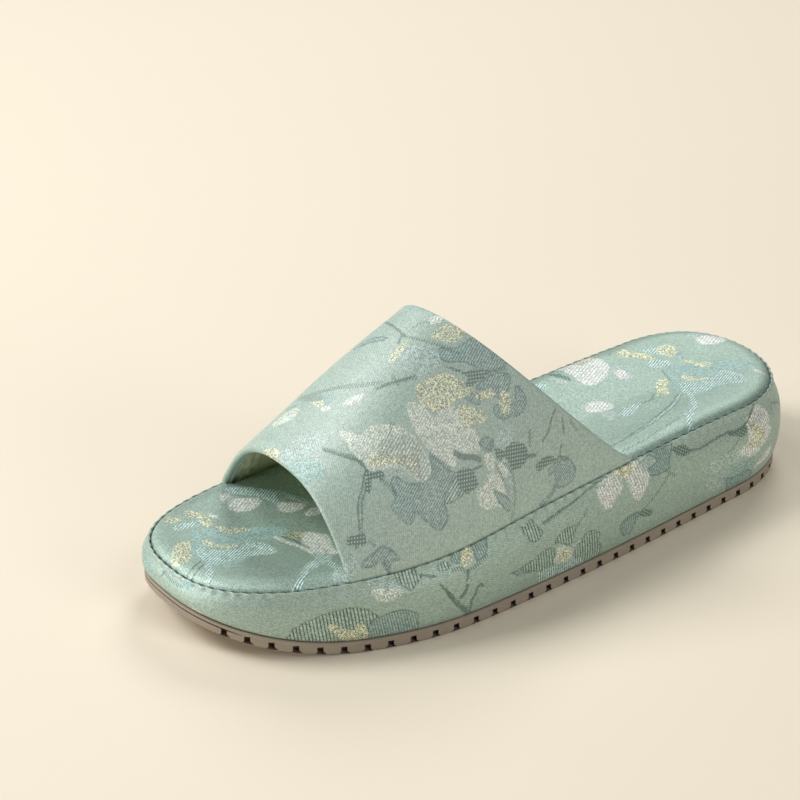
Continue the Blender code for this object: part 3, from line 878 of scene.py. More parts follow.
# Woven figures of the insole, in millimetres across and along the sole.
INSOLE_SHAPES = (
    ("gold", (
        (-17, -121.5), (-15, -125), (-12, -127), (-8, -129), (-5.4, -128), (-5, -125.5), (-6, -122),
        (-9, -121.5), (-12, -119), (-14, -117.2), (-16.5, -118),
    )),
    ("aqua", (
        (-20, -114), (-18, -115.2), (-14, -116.6), (-12, -119.5), (-9, -122), (-5, -121.4), (-2, -120),
        (2, -119), (6, -116.5), (8, -113), (6.5, -109.5), (4, -107), (-2, -106), (-5, -103.5),
        (-6, -101), (-5, -99), (-3, -96), (-1, -92), (0, -89), (-1, -86), (-3, -84.4), (-6, -86.5),
        (-9, -89.5), (-11, -93), (-12, -96.5), (-14, -101), (-17, -104), (-20, -107), (-20.6, -110.5),
    )),
    ("frost", (
        (-9, -119), (-5, -120), (-1, -120), (1, -121.5), (3, -118), (3.5, -113), (4, -109), (5, -105),
        (6, -101.5), (8, -98.5), (7.5, -96), (4, -95), (0, -96), (-3, -98), (-6, -100), (-4, -103.5),
        (-3, -107), (-4.5, -110), (-6, -113), (-10, -115),
    )),
    ("gold", (
        (-14.6, -112.5), (-12, -114), (-9, -113.5), (-6.5, -111), (-4.5, -108.5), (-4, -105),
        (-6, -105), (-7.5, -107.5), (-10, -110.5), (-13, -110.5),
    )),
    ("gold", (
        (-34.5, -115), (-33, -117.5), (-30.5, -117), (-29, -114.5), (-28, -112.5), (-31, -112.5),
    )),
    ("frost", ((-27.5, -117.5), (-24.5, -117), (-24, -113), (-23.5, -110), (-26, -109), (-27.5, -112))),
    ("gold", (
        (-33.5, -109), (-30, -109.8), (-27, -107.5), (-24, -108), (-20.5, -107), (-22, -104.5),
        (-26, -103.8), (-30, -105), (-32, -106.5),
    )),
    ("aqua", ((-27, -110), (-24, -110), (-22.5, -107), (-24.5, -105.5), (-26.5, -106.5))),
    ("silver", ((-27.6, -102.4), (-25.5, -103), (-23, -101.2), (-25, -100.6))),
    ("gold", (
        (-20.4, -104.6), (-17, -104.2), (-13, -102.5), (-12, -99), (-10.6, -95.4), (-13, -95.8),
        (-15, -99), (-18, -102),
    )),
    ("silver", (
        (-29, -93), (-27, -94.6), (-24, -94.3), (-21.5, -92), (-20.3, -89.5), (-20.5, -86),
        (-22.5, -83), (-25, -83), (-27, -86), (-29, -89), (-30, -91.5),
    )),
    ("mist", (
        (-35, -92), (-33.5, -94.6), (-31, -95), (-29.5, -93.5), (-30, -91), (-32, -89.4), (-34, -90),
    )),
    ("silver", ((-34.4, -92), (-33.2, -94), (-31, -94.4), (-30.2, -93), (-30.8, -91), (-32.4, -90))),
    ("frost", (
        (-38, -90.5), (-34, -89.5), (-31, -88), (-29, -86), (-26, -83), (-22, -81), (-18, -80),
        (-19, -77.5), (-24, -76.6), (-29, -79.4), (-33, -84),
    )),
    ("silver", (
        (-18, -79), (-15, -81), (-12, -80), (-10, -77), (-10, -73), (-12, -71), (-15, -74), (-18, -77),
    )),
    ("slate", ((-16, -78), (-14, -78.5), (-12, -76.5), (-12.5, -74.5), (-15, -75.5))),
    ("silver", ((-8.4, -72), (-6.6, -75.6), (-5, -75), (-3, -71), (-5, -68), (-7.6, -68.6))),
    ("silver", (
        (3, -81), (5, -84), (9, -86), (13, -86), (17, -87.5), (20, -86.5), (21.5, -84), (24.3, -82.6),
        (23, -80.4), (18, -79.4), (14, -77.5), (10, -76.3), (6, -78.5),
    )),
    ("rose", ((3, -81), (5, -84), (9, -86), (12, -85.6), (11, -82), (7, -79.5))),
    ("gold", ((0, -88.4), (3, -88), (6, -85), (4, -82), (1, -82.4))),
    ("frost", (
        (18, -88.4), (21, -88.5), (24, -93), (27.5, -94), (26.5, -90.5), (27.5, -87), (24, -84),
        (20, -85.6),
    )),
    ("mist", ((33, -88), (35.5, -91.5), (38, -92), (40, -88.5), (38, -84), (34, -84.5))),
    ("silver", (
        (0.3, 49), (0.5, 46.5), (2.5, 45), (4.5, 43.8), (7, 45), (8, 47.5), (8.6, 50), (9, 53),
        (7.5, 55), (4.5, 55), (2, 53), (0.5, 51),
    )),
    ("mist", ((7, 47), (11, 46.4), (15.6, 46), (16, 48), (14, 51), (10, 51.6))),
    ("frost", (
        (14, 51.6), (16.6, 51.6), (17.6, 56), (15, 60), (12.5, 64.5), (11, 63), (12, 59), (10.4, 57),
        (13, 54.5),
    )),
    ("silver", (
        (-26, 54), (-21, 54.4), (-17, 55), (-12, 54.6), (-9, 56), (-8.2, 59.5), (-9, 63), (-10.5, 66.5),
        (-13, 69), (-15.5, 72), (-20, 73), (-24, 71), (-27, 66), (-27, 59),
    )),
    ("gold", ((-27, 60), (-23, 62), (-22, 66), (-23.5, 70), (-27, 71))),
    ("mist", (
        (-15.4, 72), (-11, 68.4), (-7, 68), (-4.5, 70), (-3, 72.5), (-4.5, 75.5), (-8, 77.5),
        (-12, 77.6), (-15.6, 75.5),
    )),
    ("silver", ((-13, 72), (-9.5, 70), (-6.5, 70.4), (-5.4, 72.6), (-7.5, 75), (-11.5, 75.6))),
    ("mist", ((-20.6, 46.4), (-17, 45.6), (-14.6, 49.6), (-16.4, 51.6), (-19.4, 49.6))),
    ("hatch", ((-25, 48), (-22, 48.6), (-18, 50), (-15, 52.2), (-18, 53), (-22, 51))),
    ("frost", ((-19.6, 38), (-17, 38.6), (-16, 41), (-18, 42.4), (-20, 40.4))),
    ("gold", (
        (1, 85), (1.4, 81.5), (4, 78), (8, 76), (10.5, 73), (12, 75), (12.6, 78), (9, 80.5), (6, 82),
        (4, 85), (2, 86),
    )),
    ("aqua", (
        (-5, 90), (0, 88), (5, 86), (8, 83), (13, 82), (17, 83), (21, 88), (23, 92), (22, 97),
        (18, 101), (12, 102), (10, 106), (12, 110), (15, 113), (16, 117), (14, 120.4), (9, 120.6),
        (5, 117), (2, 111), (1, 106), (-1, 103), (-4, 99), (-5.6, 94),
    )),
    ("frost", (
        (7, 88), (10, 85.5), (14, 83), (17, 83), (19.5, 86), (20, 91), (19, 95), (20, 100), (22, 104),
        (23, 107.5), (19, 109.6), (14, 109.6), (9, 107.5), (11, 103), (12, 99), (11, 95), (9.5, 91),
    )),
    ("gold", (
        (2.4, 92.6), (5, 91), (9, 91.5), (9.6, 94), (11, 97), (12.6, 100.6), (10, 99), (8, 95.6),
        (5, 95),
    )),
    ("frost", ((29.6, 71), (31, 69), (34, 69.4), (33.6, 72), (31, 73.4))),
    ("gold", (
        (-24.4, 83), (-22, 80.4), (-19, 81), (-17, 84), (-14, 87.5), (-12, 90.5), (-13, 92.2),
        (-17, 91.6), (-19, 88.5), (-22, 87),
    )),
    ("frost", ((-11.4, 86.4), (-8, 86.4), (-6, 90), (-6, 95), (-9, 95.4), (-12.4, 92))),
    ("frost", ((-19.4, 91), (-16, 93), (-14, 97), (-16, 100), (-19, 97))),
    ("gold", ((-17, 96), (-14, 96.4), (-11, 99), (-12, 103), (-16, 105), (-19, 102))),
    ("aqua", ((-13.6, 100), (-10, 99), (-7, 101), (-8.6, 104), (-12, 104.4))),
    ("gold", (
        (-7.4, 100.4), (-3, 102.4), (1, 103), (3, 106), (2, 108.8), (0, 108), (-2, 105), (-5, 103.6),
    )),
    ("silver", (
        (-16, 116), (-13, 114.4), (-10.5, 116), (-8.5, 119), (-8, 123), (-9.5, 127), (-14, 128),
        (-15.5, 124), (-17, 121), (-17, 118),
    )),
    ("mist", ((-21.4, 117), (-19, 114.4), (-16.4, 116), (-17, 120), (-20, 121.4))),
    ("silver", ((14, 117.6), (16.4, 116.2), (20, 116.4), (22.6, 118.4), (20, 118.2), (17, 117.8))),
)
INSOLE_LINES = (
    ("line", 0.7, ((-2, -121), (-0.5, -125), (1, -129))),
    ("line", 0.7, ((0.2, -120.5), (2, -125), (4, -129))),
    ("frost", 2.4, ((0.8, -119.6), (5, -122), (9.4, -124.4))),
    ("frost", 2.6, ((-25, -76.4), (-18, -73), (-12, -70), (-8, -66))),
    ("silver", 1.8, ((-1, -91), (4, -90), (9, -88.4), (14, -87.6), (18, -87))),
    ("line", 0.8, ((0, -89), (4, -87.4), (8, -86.8))),
    ("frost", 2.2, ((20, -87), (26, -87.2), (33.5, -87.6))),
    ("frost", 2.6, ((23, -91), (27, -97), (31, -101.4), (33.5, -106))),
    ("ticks", 1.2, ((12.4, 64.5), (12.6, 69), (9, 73.4))),
    ("frost", 1.5, ((15.6, 80.6), (19, 76), (22, 71), (26, 62), (29, 53))),
    ("line", 0.6, ((15, 80.4), (21, 71), (25, 62), (28.4, 53), (33, 38), (34.4, 30))),
    ("line", 0.5, ((17, 80.4), (23, 71), (27, 62), (30, 53), (33, 42))),
    ("frost", 2.2, ((17, 84), (22, 81.4), (28, 77), (32, 71.4), (36, 67.6), (41, 64.6))),
    ("ticks", 0.9, ((32.4, 66), (34, 60), (36, 52), (38, 44), (40, 30))),
    ("ticks", 1.0, ((-4, 88.4), (0, 87.2), (3, 86.4))),
    ("ticks", 1.0, ((-24, 79), (-22.4, 77.4))),
)
COVERED_SHIFT = -104.0
COVERED_FROM = -62.0
COVERED_TO = 36.0


def inside_of(plan, loop):
    """Distance from plan points to a closed edge."""
    run = np.roll(loop, -1, axis=0) - loop
    size = np.maximum((run * run).sum(axis=1), 1.0e-12)
    found = []
    for part in np.array_split(plan, max(1, len(plan) // POINTS_AT_ONCE)):
        away = part[:, None] - loop[None]
        share = np.clip((away * run).sum(axis=2) / size, 0.0, 1.0)
        found.append(np.linalg.norm(away - share[..., None] * run, axis=2).min(axis=1))
    return np.concatenate(found)


def insole_inset(side, y):
    """Inset of the insole's edge: at the seam, but stepping in where a foot of the band stands."""
    foot = BAND_COLUMNS.index(("outer_foot", "inner_foot")[side])
    enter = smooth_step((y - BAND_ROWS[0][foot]) / BAND_END_EASE)
    leave = smooth_step((BAND_ROWS[-1][foot] - y) / BAND_END_EASE)
    return SEAM_INSET + INSOLE_SEAM_GAP + (BAND_WALL + BAND_SIDE_GAP - INSOLE_SEAM_GAP) * enter * leave


def pulled_in(side, stations, inset):
    points, normal = sole_sides(stations)[side]
    return points - normal * (insole_inset(side, points[:, 1]) + inset)[:, None]


pad_loop = np.vstack([pulled_in(0, EDGE_STATIONS, 0.0), pulled_in(1, EDGE_STATIONS, 0.0)[-2:0:-1]])
seam_sides = [points - normal * SEAM_INSET for points, normal in sole_sides(EDGE_STATIONS)]
seam_loop = np.vstack([seam_sides[0], seam_sides[1][-2:0:-1]])


def pad_top(plan):
    flat = plan.reshape(-1, 2)
    rise = read(PAD_COLUMNS, PAD_ROWS, "rise", inside_of(flat, pad_loop))
    return np.column_stack([flat, seam_height(flat[:, 1]) + rise]).reshape(*plan.shape[:2], 3)


def pad_under(plan):
    flat = plan.reshape(-1, 2)
    drop = read(BED_COLUMNS, BED_ROWS, "drop", inside_of(flat, seam_loop))
    lift = PIECE_GAP + seam_height(flat[:, 1])
    return np.column_stack([flat, lift - drop]).reshape(*plan.shape[:2], 3)


def pulled_rows(insets):
    """Both sides of the insole's edge, pulled in by each inset."""
    return [
        np.stack([pulled_in(side, INSOLE_STATIONS, inset) for inset in insets], axis=1)
        for side in (0, 1)
    ]


rims = pulled_rows(RIM_INSETS)
unders = pulled_rows(UNDER_INSETS)
crown = rims[0][:, -1:] + (rims[1][:, -1:] - rims[0][:, -1:]) * CROWN_STEPS[None, :, None]
top_plan = np.concatenate([rims[0], crown, rims[1][:, ::-1]], axis=1)
under_plan = np.concatenate(
    [rims[1][:, :1], unders[1], unders[0][:, ::-1], rims[0][:, :1]], axis=1
)
insole_points = np.concatenate(
    [pad_top(top_plan), pad_under(under_plan), pad_top(top_plan[:, :1])], axis=1
)
insole = lay_grid("insole_sock", insole_points)
shapes, lines = (
    [*rows, *moved(rows, 0.0, COVERED_SHIFT, lambda x, y: COVERED_FROM < y < COVERED_TO)]
    for rows in (INSOLE_SHAPES, INSOLE_LINES)
)
weave_into(insole, shapes, lines, insole_points[..., 0], insole_points[..., 1], INSOLE_GRAIN)
close_piece(insole)
insole.data.materials.append(brocade_material("insole_brocade", 0.65, 0.15))
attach(insole, "root")
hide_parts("insole")

# Band: one padded strip of the brocade over the instep, open at the toe and at the rear. Its hems
# are turned inwards over the padding and a pale satin lining closes the inside. Both feet are
# caught in the seam.
BAND_CREST_FULLNESS = 2.1
BAND_LEAN_POWER = 0.83
BAND_FOOT_RISE = 2.0
BAND_STEPS_ALONG = 240
BAND_STEPS_OVER = 600
BAND_COLUMNS_OVER = 324
BAND_ROWS_OUTER = 200
HEM_STEPS = 10
HEM_CLOTH = np.linspace(0.5, 3.5, HEM_STEPS)
HEM_ROLL_ROWS = 5
HEM_ROLLS = (
    (1.0, 0.5, 0.32),
    (-1.1, 1.1, 0.20),
)
LINING_START = 0.95
LINING_ROWS = 31
CRUMPLE_ROWS = 26
FINE_CRUMPLE = 0.5
BROAD_CRUMPLE = 0.3
CRUMPLE_DEPTH = 0.3
FOLD_FADE = 12.0
BAND_GRAIN = 15.0
# Woven figures of the band, in millimetres: from its crown towards the outer foot, and back from
# the toe edge.
BAND_SHAPES = (
    ("gold", ((-11, -1), (-9, 2.5), (-5.5, 3.6), (-2.6, 2.5), (-2, -1))),
    ("mist", (
        (-3, 5), (-3.4, 9), (-0.5, 14.6), (5, 17.6), (9.4, 21.2), (9, 15), (7.6, 10), (6, 6), (4.4, 3),
        (4, -1), (-2, -1),
    )),
    ("aqua", (
        (5, 3.6), (8, 7.4), (12, 9), (17, 9.2), (18.2, 7), (16.2, 4.4), (16.6, 1), (15, -1), (7, -1),
    )),
    ("mist", ((8, 7.4), (9.6, 12.4), (11.4, 12), (12, 9.4), (10, 8.4))),
    ("hatch", (
        (27, 20.6), (29.6, 22.4), (31, 25), (33.2, 25.2), (33.8, 23.6), (31.6, 22), (31.6, 20.4),
        (33.8, 18.6), (33, 17), (31, 17.4), (29.4, 19.2), (27.6, 19.6),
    )),
    ("hatch", (
        (42, 10.4), (46.2, 10.2), (45, 7.6), (45.6, 6), (43.6, 5.8), (42.4, 3.8), (40, 5.4), (41.6, 8),
    )),
    ("rose", (
        (10, 21.4), (13, 24), (17, 26), (17.6, 30.4), (20, 34), (24, 38), (28.4, 40.4), (33, 41.6),
        (39.6, 42), (44.4, 40.6), (44.6, 36), (40.6, 34), (36, 31.4), (33, 28), (31.4, 25.4),
        (28, 21.4), (22, 20.4), (15, 20.4),
    )),
    ("ribs", (
        (24, 29), (25, 33), (28.6, 38.4), (33, 41.4), (40, 41.6), (44, 40.2), (44.4, 36.4), (40, 34.4),
        (33, 31.4), (28, 27.6),
    )),
    ("gold", (
        (25, 23.4), (26.4, 27.4), (29.4, 30), (31.6, 33.6), (35, 36), (38.4, 38.6), (41, 38.6),
        (38, 35), (34.4, 32), (32, 29), (30.4, 26), (27.6, 23.4),
    )),
    ("slate", (
        (40, 43), (43.4, 45.2), (48, 47), (50.6, 49), (52, 46.4), (54, 42.4), (56, 41), (60, 40.6),
        (61.6, 38), (60.6, 35), (57, 33), (52.6, 30.8), (50, 30), (51.6, 28.6), (52, 26.4), (50, 25),
        (46, 23.4), (43, 22.4), (41, 24), (41, 25.6), (37, 25.6), (35.4, 27.4), (37, 29.4), (40, 31),
        (43, 34), (45, 38), (44.4, 41),
    )),
    ("mist", ((33.6, 26), (35.6, 26.4), (36, 29), (39, 31.4), (36.4, 31.4), (34, 29))),
    ("hatch", (
        (51.4, 49), (51.4, 52), (53, 54.2), (55, 55.6), (60, 55.6), (60, 52.4), (59, 49.6),
        (55.4, 48.4),
    )),
    ("stripe", (
        (51.6, 49), (52.2, 46), (53.6, 43.4), (55.4, 40.8), (57.4, 43.4), (58.6, 47), (59, 50),
        (55, 49),
    )),
    ("rose", (
        (30.4, 57), (35, 60), (42, 61.6), (48, 62.6), (52, 61), (50.4, 57), (47, 53), (49.6, 50),
        (46, 47), (40, 44), (33, 42.6), (26, 43.4), (22, 46.4), (26, 50), (32, 51.4), (31.4, 54),
    )),
    ("gold", (
        (20, 52), (20.6, 56), (22, 61), (24, 64), (27, 66.2), (31, 68), (34.4, 69), (34, 64), (33, 61),
        (33, 57), (31, 53), (28, 50.4), (24, 50),
    )),
    ("gold", (
        (35, 60.6), (36.6, 64), (40, 66.6), (43, 68.2), (45.4, 69), (45.2, 66), (43.4, 63), (42, 60),
        (38, 59.6),
    )),
    ("slate", ((34.4, 64.4), (37.4, 66), (40, 68), (38.6, 70.4), (35.4, 69.4))),
    ("mist", (
        (8, 53), (7.2, 58), (9, 62.4), (13, 66.2), (17, 69), (19.4, 67), (20.4, 62), (19.4, 57),
        (17, 55), (13, 53.2),
    )),
    ("gold", ((5, 61.4), (6.6, 60.4), (7.2, 56), (7.8, 53), (6, 51.4), (4.6, 55), (4.2, 58))),
    ("slate", (
        (15.4, 68), (18, 70), (20, 74), (21, 80), (24, 84), (31, 88), (36, 87), (35.4, 80), (32, 76),
        (28, 73.4), (24, 70), (22, 67), (18.4, 65.6),
    )),
    ("gold", (
        (10.4, 68.6), (10.2, 73), (11.8, 77), (15, 79.4), (18, 78.6), (18.2, 74), (15.6, 71),
        (12.6, 68.6),
    )),
    ("silver", ((4.4, 72), (6, 75.6), (8.6, 76.6), (9, 74), (7, 71.4))),
    ("hatch", (
        (22, 65), (25, 68), (28, 70), (29, 72.6), (31, 75.6), (33.6, 77.2), (34.2, 75), (33.6, 72),
        (33.4, 69.4), (31.6, 67.2), (30, 69.8), (26, 67.4),
    )),
    ("slate", (
        (35, 70), (38, 73), (42, 75), (44, 79), (43, 82), (40, 84.4), (37, 82), (34.6, 77), (34, 73),
    )),
    ("gold", ((35.4, 68.4), (37, 71), (38.6, 75), (41.4, 75.4), (40, 71.4), (38, 68.6))),
    ("slate", (
        (44, 84), (46, 86), (50, 86.2), (52.6, 84.6), (53.2, 81), (51.6, 78), (50.6, 75), (48.6, 73),
        (46, 71.8), (43.6, 73.4), (45, 76), (47, 79), (48, 81), (46, 83),
    )),
    ("gold", ((42, 79), (45, 80.4), (48.4, 79.2), (50, 77), (48.6, 75), (45, 75.2), (43, 76.8))),
    ("mist", ((51.4, 73), (52, 69.4), (53.6, 67.4), (57, 69), (58.8, 71.4), (58, 75), (54.4, 76))),
    ("slate", ((49.6, 61.6), (49.6, 65), (52, 67.2), (54.8, 66.6), (54.2, 63.4))),
    ("ribs", ((49.6, 61.6), (49.6, 65), (52, 67.2), (54.8, 66.6), (54.2, 63.4))),
    ("rose", ((54.4, 62), (55.4, 64.6), (59, 64.8), (60.8, 63), (58, 60.8))),
    ("hatch", ((55.4, 66.4), (57, 68.6), (59.6, 70.2), (60.2, 67.4), (58, 66))),
    ("rose", ((60.4, 65.4), (60.4, 68), (63, 69), (66, 67.6), (65, 65.6))),
    ("hatch", (
        (58.4, 71), (58.6, 74), (60, 76), (62, 78), (65, 78.8), (67.2, 77.6), (68.2, 75), (67.2, 72),
        (66.6, 70.4), (62, 69.6), (60, 69.4),
    )),
    ("rose", (
        (60.6, 60), (62, 57), (61.6, 54), (65, 53.2), (69, 54.8), (70.6, 57), (72, 60), (75, 63),
        (76.8, 65), (72, 65.6), (66, 65.2), (62, 64),
    )),
    ("slate", ((65.6, 60.2), (69, 63), (73, 65.4), (76.8, 65.2), (76, 63), (71, 61))),
    ("mist", (
        (60, 66), (65, 69.2), (70, 69.2), (76, 67.2), (81, 64), (77, 65.4), (70, 67), (65, 66.6),
    )),
    ("hatch", (
        (72, 80), (71.8, 83), (73.4, 86.6), (76, 89), (78.4, 90), (76.6, 87), (75.6, 84), (75, 81),
        (73.6, 79.8),
    )),
    ("slate", (
        (77, 90), (79, 92.4), (81, 94.8), (85, 96.2), (88, 95.6), (89.2, 92), (87.6, 88), (86, 86),
        (83, 86), (80, 86.6), (79.6, 84.2), (77.4, 84.4), (77, 88),
    )),
    ("slate", ((83.4, 86), (85, 83.4), (85.4, 78), (86.8, 77), (87.4, 80.4), (86.6, 84.6))),
    ("slate", (
        (50, 10), (50, 14), (52, 16.6), (56, 18.6), (58.6, 19), (57, 16), (60, 14), (56, 13),
        (53.6, 14), (54, 10), (52, 5.6), (50, 7),
    )),
    ("mist", ((44, 2), (47, 4.2), (51, 5.2), (53, 1), (48, -1))),
    ("rose", ((-23, 12), (-20.6, 17), (-16, 20.2), (-12.4, 19.2), (-12.8, 16), (-15, 13), (-19, 11.2))),
    ("aqua", ((-6.2, 28), (-4.6, 30.2), (-2, 29.2), (-2.4, 26.8), (-5, 26.4))),
    ("gold", ((-9.4, 24.4), (-6.4, 26.6), (-4, 25.8), (-5, 23.8))),
    ("silver", ((-4, 24), (-2.4, 25.8), (0.4, 26.4), (-0.6, 24), (-2.4, 23.2))),
    ("silver", ((3, 29.8), (4, 33), (6, 36), (8.2, 37.2), (8.6, 35), (7, 31.8), (5, 29.8))),
    ("slate", (
        (-15.4, 49.6), (-13, 53.4), (-8, 56), (-2.4, 58.4), (-3, 56), (-8, 53), (-11, 50.4),
        (-13.4, 48.8),
    )),
    ("aqua", ((-16, 74), (-10, 75.6), (-3, 76), (1.4, 75.4), (-3, 71.6), (-10, 72))),
    ("silver", ((-14, 78), (-6, 79.6), (2, 79), (-2, 77), (-8, 76.8))),
)
BAND_LINES = (
    ("line", 1.0, ((10.6, 13.4), (16, 16), (20, 18.3), (24, 20.5), (27.4, 20.8))),
    ("ticks", 1.6, ((10.6, 13.8), (16, 16.5), (20, 18.9), (25, 21))),
    ("line", 0.8, ((28, 19.4), (30.6, 16.6), (33, 13.4), (36, 11.5), (40.8, 9.4))),
    ("line", 0.8, ((32.2, 17), (34.4, 14), (38, 12.2), (41.4, 10))),
    ("ticks", 1.4, ((33.4, 23.4), (36, 24.6), (41, 25.8))),
    ("ticks", 1.0, ((46, 11), (48.4, 12.6))),
    ("line", 1.8, ((46, 52), (49, 54.2), (51.6, 57.6), (54.2, 59.6))),
    ("line", 0.9, ((55, 55.6), (55.6, 57.6), (56.4, 59.8))),
    ("ticks", 1.2, ((39.6, 43.4), (44, 45.6), (48, 47.6))),
    ("ticks", 2.0, ((33.6, 77), (35, 80.6), (37, 84))),
    ("line", 1.2, ((66.8, 77.6), (67.8, 79.4), (68.8, 81))),
    ("ticks", 1.1, ((59, 66.4), (65, 69.4), (70, 69.4), (76, 67.4), (81.4, 63.8))),
    ("ticks", 0.9, ((60.4, 64.8), (65, 65.4), (72, 65.8))),
    ("line", 0.8, ((61.6, 96), (63, 93), (66, 89.4), (67, 86))),
    ("line", 0.8, ((66, 97), (68.4, 96.4), (71, 95.4))),
    ("ticks", 1.0, ((69, 100), (71.6, 100.2), (74.4, 101.2))),
    ("line", 0.8, ((74, 93.4), (75, 92), (77, 91))),
    ("line", 0.7, ((76.4, 90), (78.4, 92.6), (80.4, 94.2))),
    ("ticks", 1.4, ((60, 82.6), (62, 81.6), (64.4, 80.4))),
    ("ticks", 1.5, ((55, 13), (57.6, 14), (60.4, 14.6))),
    ("ticks", 1.8, ((-21, 24.6), (-16, 26), (-10, 29), (-3, 34), (4, 38.6), (9.4, 43.8))),
    ("ticks", 2.6, ((-19.6, 24.6), (-14, 25), (-8, 27))),
    ("ticks", 1.3, ((-22, 19), (-19.6, 20.6), (-18, 21))),
    ("ticks", 1.4, ((10, 41), (12, 45.4), (14.4, 49.4), (17.6, 54))),
    ("line", 0.7, ((10, 41.4), (12.4, 46), (15, 50.4), (16.8, 54.6))),
    ("ticks", 1.2, ((11, 48.6), (14.6, 48))),
    ("line", 0.9, ((-24, 67), (-18, 64.8), (-12, 63.6), (-3, 62.6), (3, 62))),
    ("ticks", 1.2, ((3, 62), (10, 65.4), (17, 69.6), (22, 72))),
    ("line", 1.0, ((1.8, 62), (3, 58.8))),
    ("ticks", 1.0, ((3, 66.4), (3.4, 69.2), (5.6, 71.6))),
    ("ticks", 1.0, ((25, 34), (23, 37.6))),
)
BAND_SHIFT_OVER = -118.0
BAND_SHIFT_ALONG = 4.0
BAND_DRAWN_FROM = -27.0
BAND_FOLDS = (
    (-4.0, 8.0, 26.0, 3.0, 4.0, -0.55),
    (-14.0, 4.0, 18.0, 3.0, 12.0, 0.45),
    (60.0, 6.0, 30.0, 5.0, 75.0, -0.35),
    (-40.0, 12.0, 34.0, 6.0, 60.0, -0.5),
    (85.0, 106.0, 30.0, 5.0, 20.0, 0.35),
)


def band_face(band, over):
    """Outer face of the band: "band" runs toe edge to rear edge, "over" outer to inner foot."""
    at = {name: read(BAND_COLUMNS, BAND_ROWS, name, band)[:, None] for name in BAND_COLUMNS}
    feet = []
    for side, name in ((0, "outer_foot"), (1, "inner_foot")):
        points, normal = sole_sides(OUTLINE_STATIONS)[side]
        plan = points - normal * SEAM_INSET
        y = at[name][:, 0]
        feet.append(np.column_stack([np.interp(y, plan[:, 1], plan[:, 0]), y, seam_height(y)])[:, None])
    angle = np.pi * over[None]
    arch = np.maximum(np.sin(angle), 0.0)
    power = 2.0 / (at["fullness"] + (BAND_CREST_FULLNESS - at["fullness"]) * arch**2)
    swing = np.sign(np.cos(angle)) * np.abs(np.cos(angle)) ** power
    lift = arch**power
    swing = swing - at["skew"] * (1.0 - swing * swing)
    face = (feet[0] + feet[1]) / 2.0 + (feet[0] - feet[1]) / 2.0 * swing[..., None]
    face[..., 1] += at["lean"] * lift**BAND_LEAN_POWER
    face[..., 2] += at["crest"] * lift + BAND_FOOT_RISE + PIECE_GAP - LEDGE_DROP
    return face


raw = band_face(
    np.linspace(0.0, 1.0, BAND_STEPS_ALONG + 1), np.linspace(0.0, 1.0, BAND_STEPS_OVER + 1)
)
raw_u = walked_along(raw, 1)
raw_u = raw_u[:, BAND_STEPS_OVER // 2, None] - raw_u
raw_v = walked_along(raw, 0)
even_face, even_uv = [], []
for line, line_u, line_v in zip(raw, raw_u, raw_v):
    goal = np.linspace(line_u[0], line_u[-1], BAND_COLUMNS_OVER + 1)
    track = -line_u
    even_face.append(np.column_stack([np.interp(-goal, track, line[:, k]) for k in range(3)]))
    even_uv.append(np.column_stack([goal, np.interp(-goal, track, line_v)]))
even_face, even_uv = np.array(even_face), np.array(even_uv)
hem_radius = BAND_WALL / 2.0
outer_face, outer_uv = [], []
for k in range(BAND_COLUMNS_OVER + 1):
    way = walked_along(even_face[:, k : k + 1], 0)[:, 0]
    goal = np.linspace(hem_radius, way[-1] - hem_radius, BAND_ROWS_OUTER + 1)
    outer_face.append(np.column_stack([np.interp(goal, way, even_face[:, k, j]) for j in range(3)]))
    outer_uv.append(np.column_stack([np.interp(goal, way, even_uv[:, k, j]) for j in (0, 1)]))
outer_face, outer_uv = np.array(outer_face).swapaxes(0, 1), np.array(outer_uv).swapaxes(0, 1)
face_out = np.cross(np.gradient(outer_face, axis=0), np.gradient(outer_face, axis=1))
face_out /= np.linalg.norm(face_out, axis=2, keepdims=True)
bulge = np.zeros(outer_uv.shape[:2])
for at_u, at_v, length, width, turn, height in BAND_FOLDS:
    step_u, step_v = outer_uv[..., 0] - at_u, outer_uv[..., 1] - at_v
    turned = math.radians(turn)
    along = step_u * math.cos(turned) + step_v * math.sin(turned)
    across = step_v * math.cos(turned) - step_u * math.sin(turned)
    bulge += height * np.exp(-((2.0 * along / length) ** 2) - (across / width) ** 2)
from_foot = np.minimum(
    outer_uv[:, :1, 0] - outer_uv[..., 0], outer_uv[..., 0] - outer_uv[:, -1:, 0]
)
soft_face = outer_face + face_out * (bulge * smooth_step(from_foot / FOLD_FADE))[..., None]

roll_rows = np.arange(0, CRUMPLE_ROWS)
inner_rows = np.concatenate([
    BAND_ROWS_OUTER - roll_rows,
    np.linspace(BAND_ROWS_OUTER - CRUMPLE_ROWS, CRUMPLE_ROWS, LINING_ROWS).round().astype(int),
    roll_rows[::-1],
])
from_hem = np.minimum(inner_rows, BAND_ROWS_OUTER - inner_rows) / HEM_ROLL_ROWS
inner_uv = outer_uv[inner_rows]
roll = sum(depth * np.exp(-(((from_hem - place) / width) ** 2)) for depth, place, width in HEM_ROLLS)
over_u, down_v = inner_uv[..., 0], inner_uv[..., 1]
crumple = FINE_CRUMPLE * np.sin(1.5 * down_v + 1.6 * np.sin(0.3 * over_u) + 0.35 * over_u)
crumple *= 0.6 + 0.4 * np.sin(0.22 * over_u + 1.0)
crumple += BROAD_CRUMPLE * np.sin(0.75 * over_u - 0.4 * down_v + 1.5 * np.sin(0.23 * over_u))
crumple = (CRUMPLE_DEPTH + crumple) * smooth_step(2.0 * from_hem - 2.2)[:, None]
inner_depth = BAND_WALL + roll[:, None] + crumple
inner_face = outer_face[inner_rows] - face_out[inner_rows] * inner_depth[..., None]


